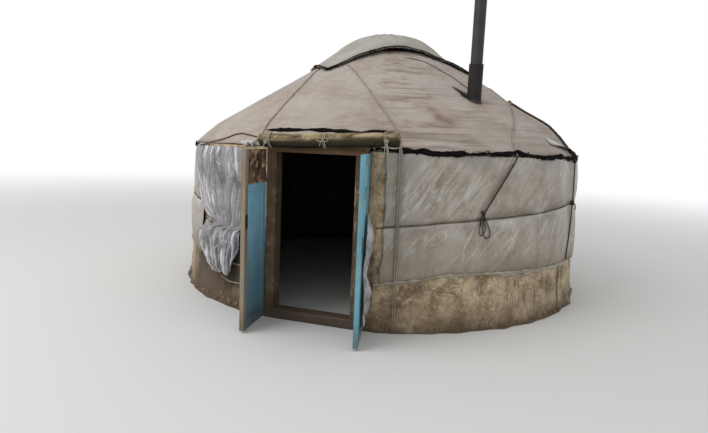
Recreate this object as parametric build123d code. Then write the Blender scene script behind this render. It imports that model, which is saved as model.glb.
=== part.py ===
from build123d import *
import math
import os

# A yurt of lattice wall, bent roof poles and crown, under felt and canvas.
# Millimetres, +Z up. The origin is the middle of the floor circle, on the ground.
# The doorway faces -Y. An azimuth is counted from the doorway towards +X.

# Driving dimensions: wall
wall_base_radius = 2505.0
wall_eave_radius = 2427.0
wall_felt_thickness = 15.0
wall_felt_pieces = 6
wall_felt_tuck = 1.0
film_thickness = 3.0
film_low_edge = 470.0
film_ends = (19.0, 180.0, 322.0)

# Roof, as radius and height of the canvas's outer face
eave_overhang = 13.0
eave_height = 1690.0
low_bend_radius = 2345.0
low_bend_height = 1790.0
high_bend_radius = 2190.0
high_bend_height = 1925.0
roof_top_radius = 640.0
roof_top_height = 2882.0
canvas_thickness = 3.0
roof_felt_thickness = 12.0
roof_felt_pieces = 4

# Frame under the felt
lattice_rows = 6
lath_width = 30.0
lath_thickness = 13.0
lattice_foot_height = 26.0
lattice_top_height = 1660.0
lattice_clearance = 0.8
lattice_tail_share = 0.4
lattice_least_rows = 1.3
pole_count = 32
pole_diameter = 34.0
pole_sides = 6
crown_outer_radius = 612.0
crown_ring_width = 70.0
crown_ring_height = 62.0
crown_dome_rise = 256.0
crown_brace_width = 32.0
crown_brace_thickness = 26.0
crown_brace_spacing = 95.0
crown_braces_each_way = 3
crown_brace_bends = 10
mortise_depth = 24.0
pole_tip_side = 16.0

# Cover over the crown
crown_cover_side = 1950.0
crown_cover_thickness = 12.0
crown_cover_shift_x = 220.0
crown_cover_shift_y = 150.0
crown_cover_turn = 5.0
crown_cover_clearance = 11.0
crown_cover_landing_radius = 1030.0
crown_cover_dome_angles = (90, 68, 46, 25)
crown_cover_edge_insets = (140.0, 150.0, 150.0, 50.0)
crown_cover_edge_bends = 6

# Doorway
door_opening_width = 800.0
threshold_height = 98.0
lintel_underside = 1644.0
lintel_height = 90.0
door_post_width = 96.0
door_frame_depth = 130.0
door_frame_setback = 45.0

# Door leaves
leaf_gap = 10.0
leaf_thickness = 40.0
leaf_foot_height = 20.0
leaf_top_height = 1665.0
leaf_back_gap = 8.0
leaf_stile_width = 68.0
leaf_rail_height = 90.0
leaf_middle_rail_height = 1330.0
leaf_board_thickness = 16.0
leaf_planks = 4
leaf_groove_width = 4.0
leaf_groove_depth = 3.0
lock_plate = (50.0, 130.0, 3.0)
lock_plate_inset = 9.0
lock_plate_heights = (1020.0, 910.0)
left_leaf_rest_angle = 84.0
right_leaf_rest_angle = 101.5
hinge_pin_diameter = 9.0
hinge_eye_diameter = 15.0
hinge_eye_length = 34.0
hinge_pin_length = 42.0
hinge_block_height = 30.0
hinge_plate_thickness = 2.5
hinge_plate_reach = 27.0
hinge_heights = (320.0, 1400.0)
hinge_eye_inset = 1.5
hinge_eye_gap = 1.0

# Rolled door curtain over the doorway
curtain_roll_diameter = 150.0
curtain_roll_length = 1345.0
curtain_roll_centre_x = 137.0
curtain_roll_low_end = 1752.0
curtain_roll_high_end = 1801.0
curtain_roll_height_over_edge = 24.0
curtain_roll_gap = 1.7
curtain_tie_width = 14.0
curtain_tie_thickness = 5.0
curtain_tie_places = (-560.0, 0.0, 560.0)
curtain_tie_gap_angle = 90.0
curtain_tie_facets = 16

# Stovepipe through the roof
flue_x = 1268.0
flue_y = -1042.0
flue_diameter = 155.0
flue_top_diameter = 130.0
flue_wall = 1.5
flue_low_end = 1950.0
flue_joint_height = 2650.0
flue_top_end = 3600.0
flue_overlap = 40.0
flue_collar_height = 8.0
flue_foot_length = 60.0
flue_foot_drawn_in = 2.0
flue_shoulder_height = 4.0

# Thin curtain at the door's left, hung under the hem and gathered into a knot. Each place is an
# azimuth and the curtain's foot there.
thin_curtain_places = (
    (-46, 1500), (-45, 1195), (-40.3, 926), (-34.3, 714), (-29.7, 361), (-23, 387), (-20.5, 860),
)
thin_curtain_top = 1650.0
thin_curtain_thickness = 5.0
thin_curtain_knot = (-31.0, 860.0)
thin_curtain_knot_thickness = 26.0
thin_curtain_knot_reach = 15.0
thin_curtain_least_fall = 60.0

# Hem, belts and ropes. A route is a row of azimuths and heights on the tent's outer skin.
hem_thickness = 6.0
hem_drop = 35.0
hem_rise = 22.0
hem_side_start = 19.0
hem_door_end = 16.0
belt_thickness = 5.0
middle_belt_width = 16.0
middle_belt_route = ((14, 980), (30, 1057), (73, 1176), (180, 1210), (290, 1090), (346, 990))
lower_band_width = 24.0
lower_band_route = ((14, 445), (31, 560), (77, 545), (180, 560), (300, 520), (346, 450))
rope_diameter = 12.0
rope_sides = 6
rope_foot_height = 110.0
rope_lift_at_eave = 15.0
rope_routes = (
    ((-11, 2600), (18.1, 1860), (18.4, 1690), (18.5, rope_foot_height)),
    ((-39, 2560), (-17.3, 1815), (-17, 1690), (-16.5, rope_foot_height)),
    ((73, 2290), (73, 2235), (63, 2116), (55, 1994), (48.8, 1844), (46.5, 1690), (38, 1130)),
    ((66, 2345), (80, 2300), (84, 2100), (80, 1900), (75.5, 1690), (81, 1200), (81, rope_foot_height)),
    ((138, 2220), (140, 1690), (139, rope_foot_height)),
    ((180, 2590), (178, 1690), (178, rope_foot_height)),
    ((220, 2410), (226, 1690), (226, rope_foot_height)),
    ((266, 2740), (270, 1690), (270, rope_foot_height)),
)

# Fits
seat = 0.3
pin_clearance = 0.3
cut_margin = 200.0
ridge_margin = 0.01
bend_margin = 20.0
flat_tolerance = 1e-7
least_turn = 1e-12

# Worked out from the sizes above
wall_height = eave_height - seat
eave_radius = wall_eave_radius + eave_overhang
wall_reach = max(wall_base_radius, wall_eave_radius)
door_frame_front = door_frame_setback - wall_reach
frame_side_x = door_opening_width / 2 + door_post_width + hinge_plate_thickness + 2 * seat
lintel_top = lintel_underside + lintel_height
skin_facets = pole_count
pole_line_depth = canvas_thickness + roof_felt_thickness + 2 * seat + pole_diameter / 2

os.makedirs("parts", exist_ok=True)


def save(shape, node):
    export_step(shape, f"parts/{node}.step")


def spot(radius, azimuth, height):
    """A point at a radius and height, turned from the doorway towards +X."""
    turn = math.radians(azimuth)
    return Vector(radius * math.sin(turn), -radius * math.cos(turn), height)


def facet_spot(radius, azimuth, height, facets):
    """A point on a many-sided ring whose corners lie at that radius."""
    half = 180.0 / facets
    across = azimuth % (2 * half) - half
    return spot(radius * math.cos(math.radians(half)) / math.cos(math.radians(across)), azimuth, height)


def patch(corners):
    """Faces that span corners in turn: one where they are flat, else triangles from the first."""
    kept = [c for c, last in zip(corners, corners[-1:] + corners[:-1]) if (c - last).length > 1e-6]
    turns = [(b - kept[0]).cross(c - kept[0]) for b, c in zip(kept[1:], kept[2:])]
    turns = [turn for turn in turns if turn.length > least_turn]
    if not turns:
        return []
    normal = turns[0].normalized()
    if all(abs((corner - kept[0]).dot(normal)) < flat_tolerance for corner in kept[3:]):
        return [Face(Wire.make_polygon(kept, close=True))]
    return [Face(Wire.make_polygon([kept[0], a, b], close=True)) for a, b in zip(kept[1:], kept[2:])]


def ring_sector(outline, start=0.0, end=360.0, facets=skin_facets):
    """Radius and height points, turned about the middle between two azimuths in flat facets."""
    pitch = 360.0 / facets
    corner = math.floor(start / pitch) + 1
    azimuths = [start]
    while corner * pitch < end - 1e-6:
        azimuths.append(corner * pitch)
        corner += 1
    azimuths.append(end)
    sections = [[facet_spot(r, azimuth, z, facets) for r, z in outline] for azimuth in azimuths]
    faces = []
    for low, high in zip(sections, sections[1:]):
        for i in range(len(outline)):
            faces += patch([low[i - 1], low[i], high[i], high[i - 1]])
    if end - start < 360.0:
        faces += patch(sections[0]) + patch(sections[-1])
    return Solid(Shell(faces))


def wall_radius(height, depth=0.0):
    """The wall felt's outer face at a height, less a depth towards the middle."""
    lean = (wall_eave_radius - wall_base_radius) / wall_height
    return wall_base_radius + lean * height - depth


def offset_line(points, depth):
    """A line of radius and height points, moved square to itself towards the middle."""
    moved = []
    normals = []
    for (r0, z0), (r1, z1) in zip(points, points[1:]):
        length = math.hypot(r1 - r0, z1 - z0)
        normals.append(((z0 - z1) / length, (r1 - r0) / length))
    for i, (r, z) in enumerate(points):
        before = normals[max(i - 1, 0)]
        after = normals[min(i, len(normals) - 1)]
        share = 1.0 + before[0] * after[0] + before[1] * after[1]
        reach = depth / share
        moved.append((r + reach * (before[0] + after[0]), z + reach * (before[1] + after[1])))
    return moved


roof_line = [
    (eave_radius, eave_height),
    (low_bend_radius, low_bend_height),
    (high_bend_radius, high_bend_height),
    (roof_top_radius, roof_top_height),
]


def roof_face(depth):
    """The roof's line at a depth, cut level at the eave and upright at the crown."""
    line = offset_line(roof_line, depth)
    return [line_at_height(line, eave_height)] + line[1:-1] + [line_at_radius(line, roof_top_radius)]


def roof_layer(top_depth, thickness):
    """The closed outline of a layer that lies a depth below the canvas's face."""
    return roof_face(top_depth) + roof_face(top_depth + thickness)[::-1]


def prism_along(stations):
    """A closed bar through a row of sections, each a ring of as many corners."""
    faces = patch(stations[0]) + patch(stations[-1])
    for low, high in zip(stations, stations[1:]):
        for i in range(len(low)):
            faces += patch([low[i - 1], low[i], high[i], high[i - 1]])
    return Solid(Shell(faces))


def rod(points, diameter, sides, ups, foot_cut=None, head_cut=None):
    """A straight-sided rod along points, square at its bends and cut at its ends to a plane's normal."""
    stations = []
    for i, point in enumerate(points):
        before = (point - points[i - 1]).normalized() if i else None
        after = (points[i + 1] - point).normalized() if i + 1 < len(points) else None
        along = before + after if before and after else before or after
        along = along.normalized()
        across = along.cross(ups[i]).normalized()
        rise = across.cross(along).normalized()
        ring = []
        for k in range(sides):
            turn = math.tau * (k + 0.5) / sides
            ring.append(point + (across * math.cos(turn) + rise * math.sin(turn)) * (diameter / 2))
        cut = head_cut if i + 1 == len(points) else foot_cut if i == 0 else None
        if cut:
            ring = [corner + along * ((point - corner).dot(cut) / along.dot(cut)) for corner in ring]
        stations.append(ring)
    return prism_along(stations)


def make_wall_felt():
    first = math.degrees(math.asin(frame_side_x / wall_reach)) - wall_felt_tuck
    width = (360.0 - 2 * first) / wall_felt_pieces
    outline = [
        (wall_radius(0), 0),
        (wall_radius(wall_height), wall_height),
        (wall_radius(wall_height, wall_felt_thickness), wall_height),
        (wall_radius(0, wall_felt_thickness), 0),
    ]
    doorway = Pos(0, -wall_reach, wall_height / 2) * Box(
        2 * frame_side_x, 2 * cut_margin + wall_reach, 2 * wall_height
    )
    for i in range(wall_felt_pieces):
        piece = ring_sector(outline, first + i * width, first + (i + 1) * width)
        if i in (0, wall_felt_pieces - 1):
            piece = piece - doorway
        save(piece, f"wall_felt_{i + 1}")


def make_lattice():
    """Two layers of slanting laths that meet where they cross, bent at every second crossing."""
    pitch = 360.0 / pole_count
    inside = wall_radius(0, wall_felt_thickness + 2 * lath_thickness)
    first = math.degrees(math.asin((frame_side_x + lath_width) / inside))
    tail = lattice_tail_share
    row_height = (lattice_top_height - lattice_foot_height) / (lattice_rows + 2 * tail)
    run = 2 * wall_base_radius * math.sin(math.radians(pitch / 2))
    half_height = lath_width / 2 * math.hypot(2 * row_height, run) / run
    rows = [-tail, *range(0, lattice_rows + 1, 2), lattice_rows + tail]
    laths = []
    for lean in (1, -1):
        depth = wall_felt_thickness + lattice_clearance
        if lean < 0:
            depth += lath_thickness
        for i in range(-lattice_rows, pole_count + lattice_rows):
            path = []
            for row in rows:
                height = lattice_foot_height + (row + tail) * row_height
                path.append(((i + lean * row / 2) * pitch, height))
            path = clip_azimuth(path, first, 360.0 - first)
            if len(path) > 1 and path[-1][1] - path[0][1] > lattice_least_rows * row_height:
                laths.append(lath(path, depth, half_height))
    save(laths[0].fuse(*laths[1:]), "lattice_wall")


def clip_azimuth(path, low, high):
    """Keeps the part of an azimuth and height path between two azimuths."""
    kept = []
    for (a0, z0), (a1, z1) in zip(path, path[1:]):
        shares = [(edge - a0) / (a1 - a0) for edge in (low, high) if (a0 - edge) * (a1 - edge) < 0]
        for share in [0.0] * (low <= a0 <= high) + sorted(shares) + [1.0] * (low <= a1 <= high):
            point = (a0 + share * (a1 - a0), z0 + share * (z1 - z0))
            if not kept or abs(kept[-1][1] - point[1]) > 1.0:
                kept.append(point)
    return kept


def lath(path, depth, half_height):
    """A flat lath along a path on the wall, from its outer face's depth inwards."""
    stations = []
    for azimuth, height in path:
        section = []
        for edge, inner in ((-1, 0), (1, 0), (1, 1), (-1, 1)):
            z = height + edge * half_height
            radius = wall_radius(z, depth + inner * lath_thickness)
            section.append(facet_spot(radius, azimuth, z, skin_facets))
        stations.append(section)
    return prism_along(stations)


def make_poles():
    """Poles in four groups, those over the doorway standing on the lintel."""
    line = offset_line(roof_line, pole_line_depth)
    head = line_at_radius(line, crown_outer_radius + seat)
    pitch = 360.0 / pole_count
    groups = {"front": [], "right": [], "back": [], "left": []}
    for i in range(pole_count):
        azimuth = i * pitch
        at_eave = spot(line[0][0], azimuth, 0)
        over_door = abs(at_eave.X) < frame_side_x + pole_diameter and at_eave.Y < 0
        foot = line_at_height(line, lintel_top + seat if over_door else eave_height)
        points = [spot(r, azimuth, z) for r, z in [foot] + line[1:-1] + [head]]
        ups = [spot(1, azimuth + 90, 0)] * len(points)
        pole = rod(points, pole_diameter, pole_sides, ups, Vector(0, 0, 1), spot(1, azimuth, 0))
        name = ("front", "right", "back", "left")[int((azimuth + 45) // 90) % 4]
        groups[name].append(pole + pole_tip(azimuth, 0.0))
    for name, poles in groups.items():
        save(Compound(children=poles), f"roof_poles_{name}")


def pole_tip(azimuth, clearance):
    """The square tip of a pole, or with a clearance the mortise that it seats in."""
    line = offset_line(roof_line, pole_line_depth)
    reach = mortise_depth + clearance
    (r0, z0), (r1, z1) = line[-2:]
    half = (pole_tip_side / 2 + clearance) * math.hypot(r1 - r0, z1 - z0) / abs(r1 - r0)
    sections = []
    for radius in (crown_outer_radius + pole_tip_side / 2, crown_outer_radius - reach):
        z = line_at_radius(line, radius)[1]
        section = []
        for side, rise in ((-1, -1), (1, -1), (1, 1), (-1, 1)):
            sideways = spot(side * (pole_tip_side / 2 + clearance), azimuth + 90, 0)
            section.append(spot(radius, azimuth, z + rise * half) + sideways)
        sections.append(section)
    return prism_along(sections)


def line_at_radius(line, radius):
    (r0, z0), (r1, z1) = line[-2:]
    return (radius, z0 + (z1 - z0) * (radius - r0) / (r1 - r0))


def line_at_height(line, height):
    (r0, z0), (r1, z1) = line[:2]
    return (r0 + (r1 - r0) * (height - z0) / (z1 - z0), height)


def flue_hole(radius):
    height = flue_top_end
    return Pos(flue_x, flue_y, height / 2) * Cylinder(radius + seat, height)


def lintel_room():
    """The space that the roof's layers leave round the door frame."""
    height = lintel_top + seat
    return Pos(0, -wall_reach, height / 2) * Box(2 * frame_side_x, wall_reach, height)


def make_roof_felt():
    width = 360.0 / roof_felt_pieces
    outline = roof_layer(canvas_thickness + seat, roof_felt_thickness)
    for i in range(roof_felt_pieces):
        start = (i - 0.5) * width
        piece = ring_sector(outline, start, start + width)
        if i == 0:
            piece = piece - lintel_room()
        if start < math.degrees(math.atan2(flue_x, -flue_y)) < start + width:
            piece = piece - flue_hole(flue_diameter / 2)
        save(piece, f"roof_felt_{i + 1}")


def make_roof_canvas():
    canvas = ring_sector(roof_layer(0.0, canvas_thickness))
    save(canvas - flue_hole(flue_diameter / 2) - lintel_room(), "roof_canvas")


def dome_line(foot, growth, angles):
    """Radius and height points up the crown's half-oval dome, from angles above its foot."""
    line = []
    for angle in angles:
        turn = math.radians(angle)
        radius = (crown_outer_radius + growth) * math.cos(turn) if angle < 90 else 0.0
        line.append((radius, foot + (crown_dome_rise + growth) * math.sin(turn)))
    return line


def make_crown(foot):
    """A ring that takes the poles, and two crossing sets of arched braces."""
    inner = crown_outer_radius - crown_ring_width
    low = foot - crown_ring_height
    ring = [(inner, low), (crown_outer_radius, low), (crown_outer_radius, foot), (inner, foot)]
    mortises = [pole_tip(i * 360.0 / pole_count, seat) for i in range(pole_count)]
    save(ring_sector(ring) - mortises, "crown_ring")
    braces = []
    for turn in (0, 90):
        for i in range(crown_braces_each_way):
            shift = (i - (crown_braces_each_way - 1) / 2) * crown_brace_spacing
            braces.append(Rot(Z=turn) * arched_brace(shift, foot + seat))
    save(braces[0].fuse(*braces[1:]), "crown_braces")


def arched_brace(shift, foot):
    """One brace over the crown, at a distance to the side of its middle."""
    share = math.sqrt(1.0 - (shift / crown_outer_radius) ** 2)
    stations = []
    for i in range(crown_brace_bends + 1):
        turn = math.pi * i / crown_brace_bends
        section = []
        for side, depth in ((-1, 0), (1, 0), (1, 1), (-1, 1)):
            reach = crown_outer_radius * share - depth * crown_brace_thickness
            rise = crown_dome_rise * share - depth * crown_brace_thickness
            x = shift + side * crown_brace_width / 2
            section.append(Vector(x, reach * math.cos(turn), foot + rise * math.sin(turn)))
        stations.append(section)
    return prism_along(stations)


def make_crown_cover(foot):
    """A square sheet, domed over the braces and lying on the canvas beyond the ring."""
    slope = (roof_top_height - high_bend_height) / (high_bend_radius - roof_top_radius)
    lift = seat * math.hypot(1.0, slope)
    thick = crown_cover_thickness
    under = dome_line(foot + seat, crown_cover_clearance, crown_cover_dome_angles)
    for radius in (crown_cover_landing_radius, crown_cover_side):
        under.append((radius, roof_top_height - slope * (radius - roof_top_radius) + lift))
    over = [(r, z + thick) for r, z in under]
    half = crown_cover_side / 2
    corners = []
    for i, inset in enumerate(crown_cover_edge_insets):
        edge = ThreePointArc((-half, -half), (0, inset - half), (half, -half)).rotate(Axis.Z, 90 * i)
        corners += [edge @ (k / crown_cover_edge_bends) for k in range(crown_cover_edge_bends)]
    cut = extrude(Face(Wire.make_polygon(corners, close=True)), 2 * wall_height)
    cut = Pos(crown_cover_shift_x, crown_cover_shift_y, 0) * Rot(Z=crown_cover_turn) * cut
    save(ring_sector(under + over[::-1]) & cut, "crown_cover")


def make_door_frame():
    half = door_opening_width / 2
    middle_y = door_frame_front + door_frame_depth / 2
    for side, name in ((-1, "left"), (1, "right")):
        post = Box(door_post_width, door_frame_depth, lintel_underside)
        post = Pos(side * (half + door_post_width / 2), middle_y, lintel_underside / 2) * post
        save(post, f"door_post_{name}")
    lintel = Box(door_opening_width + 2 * door_post_width, door_frame_depth, lintel_height)
    save(Pos(0, middle_y, lintel_underside + lintel_height / 2) * lintel, "lintel")
    threshold = Box(door_opening_width, door_frame_depth, threshold_height)
    save(Pos(0, middle_y, threshold_height / 2) * threshold, "threshold")


hinge_x = door_opening_width / 2 + door_post_width + hinge_eye_diameter / 2 - hinge_eye_inset
leaf_back_y = door_frame_front - leaf_back_gap
hinge_y = leaf_back_y - hinge_eye_diameter / 4
leaf_outer_x = hinge_x - hinge_eye_diameter / 2
leaf_width = leaf_outer_x - leaf_gap / 2


def leaf_box(x0, x1, z0, z1, depth=leaf_thickness, front=leaf_back_y - leaf_thickness):
    """A board of the closed right-hand leaf, from its edges."""
    return Pos((x0 + x1) / 2, front + depth / 2, (z0 + z1) / 2) * Box(x1 - x0, depth, z1 - z0)


def make_leaf(name, side, open_angle):
    """A leaf made closed on the right, mirrored for the left, then swung open."""
    free = leaf_gap / 2
    outer = leaf_outer_x
    low, high = leaf_foot_height, leaf_top_height
    stile, rail = leaf_stile_width, leaf_rail_height
    frame = leaf_box(free, free + stile, low, high) + leaf_box(outer - stile, outer, low, high)
    for z in (low, leaf_middle_rail_height - rail / 2, high - rail):
        frame = frame + leaf_box(free + stile, outer - stile, z, z + rail)
    inset = (leaf_thickness - leaf_board_thickness) / 2
    board_front = leaf_back_y - leaf_thickness + inset
    boards = leaf_box(
        free + stile + seat,
        outer - stile - seat,
        low + rail + seat,
        leaf_middle_rail_height - rail / 2 - seat,
        leaf_board_thickness,
        board_front,
    )
    plank = (outer - free - 2 * stile) / leaf_planks
    for i in range(1, leaf_planks):
        x = free + stile + i * plank
        for front in (board_front, board_front + leaf_board_thickness - leaf_groove_depth):
            boards = boards - leaf_box(x, x + leaf_groove_width, low, high, leaf_groove_depth, front)
    upper = leaf_box(
        free + stile + seat,
        outer - stile - seat,
        leaf_middle_rail_height + rail / 2 + seat,
        high - rail - seat,
        leaf_board_thickness,
        board_front,
    )
    knuckles, fixed = [], []
    for height in hinge_heights:
        turning, still = make_hinge(height)
        knuckles += turning
        fixed += still
    save(place_leaf([frame], side, open_angle), f"{name}_leaf_frame")
    save(place_leaf([boards], side, open_angle), f"{name}_leaf_boards")
    save(place_leaf([upper], side, open_angle), f"{name}_leaf_upper_panel")
    width, height, thickness = lock_plate
    plate_x = free + lock_plate_inset
    if side < 0:
        middle, front = lock_plate_heights[0], leaf_back_y + seat
    else:
        middle, front = lock_plate_heights[1], leaf_back_y - leaf_thickness - seat - thickness
    lock = leaf_box(plate_x, plate_x + width, middle - height / 2, middle + height / 2, thickness, front)
    save(place_leaf([lock], side, open_angle), f"{name}_leaf_lock_plate")
    save(place_leaf(knuckles, side, open_angle), f"{name}_leaf_hinges")
    save(place_leaf(fixed, side, 0.0), f"{name}_post_hinges")


def place_leaf(solids, side, open_angle):
    """Swings closed right-hand pieces open about the hinge, then mirrors them if left."""
    placed = []
    for solid in solids:
        turned = Pos(hinge_x, hinge_y, 0) * Rot(Z=open_angle) * Pos(-hinge_x, -hinge_y, 0) * solid
        placed.append(turned if side > 0 else mirror(turned, about=Plane.YZ))
    return placed[0] if len(placed) == 1 else Compound(children=placed)


def make_hinge(height):
    """A pintle on the post's side, and the eye on the leaf's edge that turns on it."""
    middle = Pos(hinge_x, hinge_y, height)
    bore = hinge_pin_diameter / 2 + pin_clearance
    eye = middle * Cylinder(hinge_eye_diameter / 2, hinge_eye_length)
    plate = leaf_box(
        leaf_outer_x + seat,
        leaf_outer_x + seat + hinge_plate_thickness,
        height - hinge_eye_length / 2,
        height + hinge_eye_length / 2,
        hinge_plate_reach,
        hinge_y - hinge_plate_reach,
    )
    turning = (eye + plate) - middle * Cylinder(bore, 2 * hinge_eye_length)
    foot = height - hinge_eye_length / 2 - hinge_eye_gap
    block = Cylinder(hinge_eye_diameter / 2, hinge_block_height)
    block = Pos(hinge_x, hinge_y, foot - hinge_block_height / 2) * block
    pin = Cylinder(hinge_pin_diameter / 2, hinge_pin_length)
    pin = Pos(hinge_x, hinge_y, foot + hinge_pin_length / 2) * pin
    plate_x = door_opening_width / 2 + door_post_width + seat
    tab = leaf_box(
        plate_x,
        plate_x + hinge_plate_thickness,
        foot - hinge_block_height,
        foot,
        hinge_plate_reach,
        hinge_y,
    )
    return [turning], [block + pin + tab]


def make_curtain_roll():
    tilt = math.degrees(math.asin((curtain_roll_high_end - curtain_roll_low_end) / curtain_roll_length))
    radius = curtain_roll_diameter / 2
    reach = math.sqrt(radius**2 - curtain_roll_height_over_edge**2) + curtain_roll_gap
    middle_z = (curtain_roll_low_end + curtain_roll_high_end) / 2
    place = Pos(curtain_roll_centre_x, door_frame_front - reach, middle_z) * Rot(Y=90.0 - tilt)
    save(place * Cylinder(radius, curtain_roll_length), "curtain_roll")
    inner = (radius + seat) / math.cos(math.pi / curtain_tie_facets)
    outer = inner + curtain_tie_thickness
    half = curtain_tie_width / 2
    outline = [(inner, -half), (outer, -half), (outer, half), (inner, half)]
    gap = curtain_tie_gap_angle / 2
    ring = ring_sector(outline, gap, 360.0 - gap, curtain_tie_facets)
    ties = [place * Pos(0, 0, along) * Rot(Z=180.0) * ring for along in curtain_tie_places]
    save(Compound(children=ties), "curtain_ties")


def make_flue():
    """A pipe with a drawn-in foot, and a narrower one whose neck goes into its top."""
    radius = flue_diameter / 2
    foot = radius - flue_foot_drawn_in
    shoulder = flue_low_end + flue_foot_length
    outline = [
        (foot, flue_low_end),
        (foot, shoulder),
        (radius, shoulder + flue_shoulder_height),
        (radius, flue_joint_height),
    ]
    inner = [(r - flue_wall, z) for r, z in reversed(outline)]
    section = Polyline([(r, 0, z) for r, z in outline + inner], close=True)
    place = Pos(flue_x, flue_y, 0)
    save(place * revolve(Face(Wire(section)), Axis.Z), "stovepipe_lower")
    top_length = flue_top_end - flue_joint_height
    collar = Cylinder(radius, flue_collar_height)
    neck = Cylinder(radius - flue_wall - seat, flue_overlap)
    tube = Cylinder(flue_top_diameter / 2, top_length)
    upper = Pos(0, 0, flue_joint_height + flue_collar_height / 2) * collar
    upper = upper + Pos(0, 0, flue_joint_height - flue_overlap / 2) * neck
    upper = upper + Pos(0, 0, flue_joint_height + top_length / 2) * tube
    draught = Cylinder(flue_top_diameter / 2 - flue_wall, 2 * flue_top_end)
    save(place * (upper - draught), "stovepipe_upper")


def make_film():
    """The outer sheet round the sides and back, between the eave and the lower band."""
    low, high = film_low_edge, wall_height - film_thickness
    outline = [
        (wall_radius(low, -seat), low),
        (wall_radius(high, -seat), high),
        (wall_radius(high, -seat - film_thickness), high),
        (wall_radius(low, -seat - film_thickness), low),
    ]
    right_end, back, left_end = film_ends
    save(ring_sector(outline, right_end, back), "wall_sheet_right")
    save(ring_sector(outline, back, left_end), "wall_sheet_left")


def radius_at(line, height):
    """The radius of a line of radius and height points at a height."""
    for (r0, z0), (r1, z1) in zip(line, line[1:]):
        if height <= z1:
            break
    return r0 + (r1 - r0) * (height - z0) / (z1 - z0)


def on_ridges(route, heights=()):
    """A route with points added where it crosses a ridge of the skin or one of some heights."""
    pitch = 360.0 / skin_facets
    points = [route[0]]
    for (a0, z0), (a1, z1) in zip(route, route[1:]):
        low, high = sorted((a0, a1))
        shares = [1.0]
        for k in range(math.floor(low / pitch), math.ceil(high / pitch) + 1):
            if low + ridge_margin < k * pitch < high - ridge_margin:
                shares.append((k * pitch - a0) / (a1 - a0))
        for height in heights:
            if min(z0, z1) + bend_margin < height < max(z0, z1) - bend_margin:
                shares.append((height - z0) / (z1 - z0))
        for share in sorted(shares):
            points.append((a0 + share * (a1 - a0), z0 + share * (z1 - z0)))
    return points


def make_hem():
    """A dark felt edge sewn along the canvas's foot, which stands higher over the doorway."""
    pieces = []
    for middle_height, start, end in (
        (eave_height, hem_side_start, 180.0),
        (eave_height, 180.0, 360.0 - hem_side_start),
        (low_bend_height, -hem_door_end, hem_door_end),
    ):
        line = [(eave_radius, middle_height - hem_drop)] + roof_line
        inner = offset_line(line, -seat)
        outer = offset_line(line, -seat - hem_thickness)
        heights = (middle_height - hem_drop, middle_height, middle_height + hem_rise)
        outline = [(radius_at(inner, z), z) for z in heights]
        outline += [(radius_at(outer, z), z) for z in reversed(heights)]
        pieces.append(ring_sector(outline, start, end))
    save(Compound(children=pieces), "eave_hem")


def make_belts():
    """Two woven bands round the wall, from one side of the doorway to the other."""
    for route, width, node in (
        (middle_belt_route, middle_belt_width, "middle_belt"),
        (lower_band_route, lower_band_width, "lower_band"),
    ):
        stations = []
        for azimuth, height in on_ridges(route):
            section = []
            for edge, depth in ((-1, 0), (1, 0), (1, belt_thickness), (-1, belt_thickness)):
                z = height + edge * width / 2
                radius = wall_radius(z, -2 * seat - film_thickness - depth)
                section.append(facet_spot(radius, azimuth, z, skin_facets))
            stations.append(section)
        save(prism_along(stations), node)


def make_thin_curtain():
    """A cloth over the sheet and the belts, thickest round the knot that gathers it."""
    inner = 3 * seat + film_thickness + belt_thickness
    knot_azimuth, knot_height = thin_curtain_knot
    stations = []
    for azimuth, foot in on_ridges(thin_curtain_places):
        nearness = max(0.0, 1.0 - abs(azimuth - knot_azimuth) / thin_curtain_knot_reach)
        swell = nearness * (thin_curtain_knot_thickness - thin_curtain_thickness)
        outline = [
            (inner, foot),
            (inner, thin_curtain_top),
            (inner + thin_curtain_thickness, thin_curtain_top),
            (inner + thin_curtain_thickness + swell, max(knot_height, foot + thin_curtain_least_fall)),
            (inner + thin_curtain_thickness + swell / 2, foot),
        ]
        ring = [facet_spot(wall_radius(z, -out), azimuth, z, skin_facets) for out, z in outline]
        stations.append(ring)
    save(prism_along(stations), "gathered_sheet")


def make_ropes():
    """Ropes from the crown cover over the roof, and on down the wall outside its belts."""
    lift = rope_diameter / 2 * math.cos(math.pi / rope_sides) + seat
    foot = wall_radius(0, -film_thickness - belt_thickness - 3 * seat)
    line = [(foot, 0), (eave_radius + rope_lift_at_eave, eave_height)] + roof_line[1:]
    line = offset_line(line, -lift)
    bends = [z for r, z in line[1:-1]]
    ropes = []
    for route in rope_routes:
        points, ups = [], []
        for azimuth, height in on_ridges(route, bends):
            points.append(facet_spot(radius_at(line, height), azimuth, height, skin_facets))
            ups.append(spot(1, azimuth + 90, 0))
        ropes.append(rod(points, rope_diameter, rope_sides, ups))
    save(Compound(children=ropes), "tie_ropes")


pole_head = line_at_radius(offset_line(roof_line, pole_line_depth), crown_outer_radius)[1]
crown_foot = pole_head + crown_ring_height / 2

make_wall_felt()
make_lattice()
make_poles()
make_roof_felt()
make_roof_canvas()
make_crown(crown_foot)
make_crown_cover(crown_foot)
make_door_frame()
make_leaf("left", -1, left_leaf_rest_angle)
make_leaf("right", 1, right_leaf_rest_angle)
make_curtain_roll()
make_flue()
make_film()
make_hem()
make_belts()
make_thin_curtain()
make_ropes()
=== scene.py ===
import math

import bmesh
import bpy
import numpy as np
from mathutils import Matrix, Vector


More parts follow.
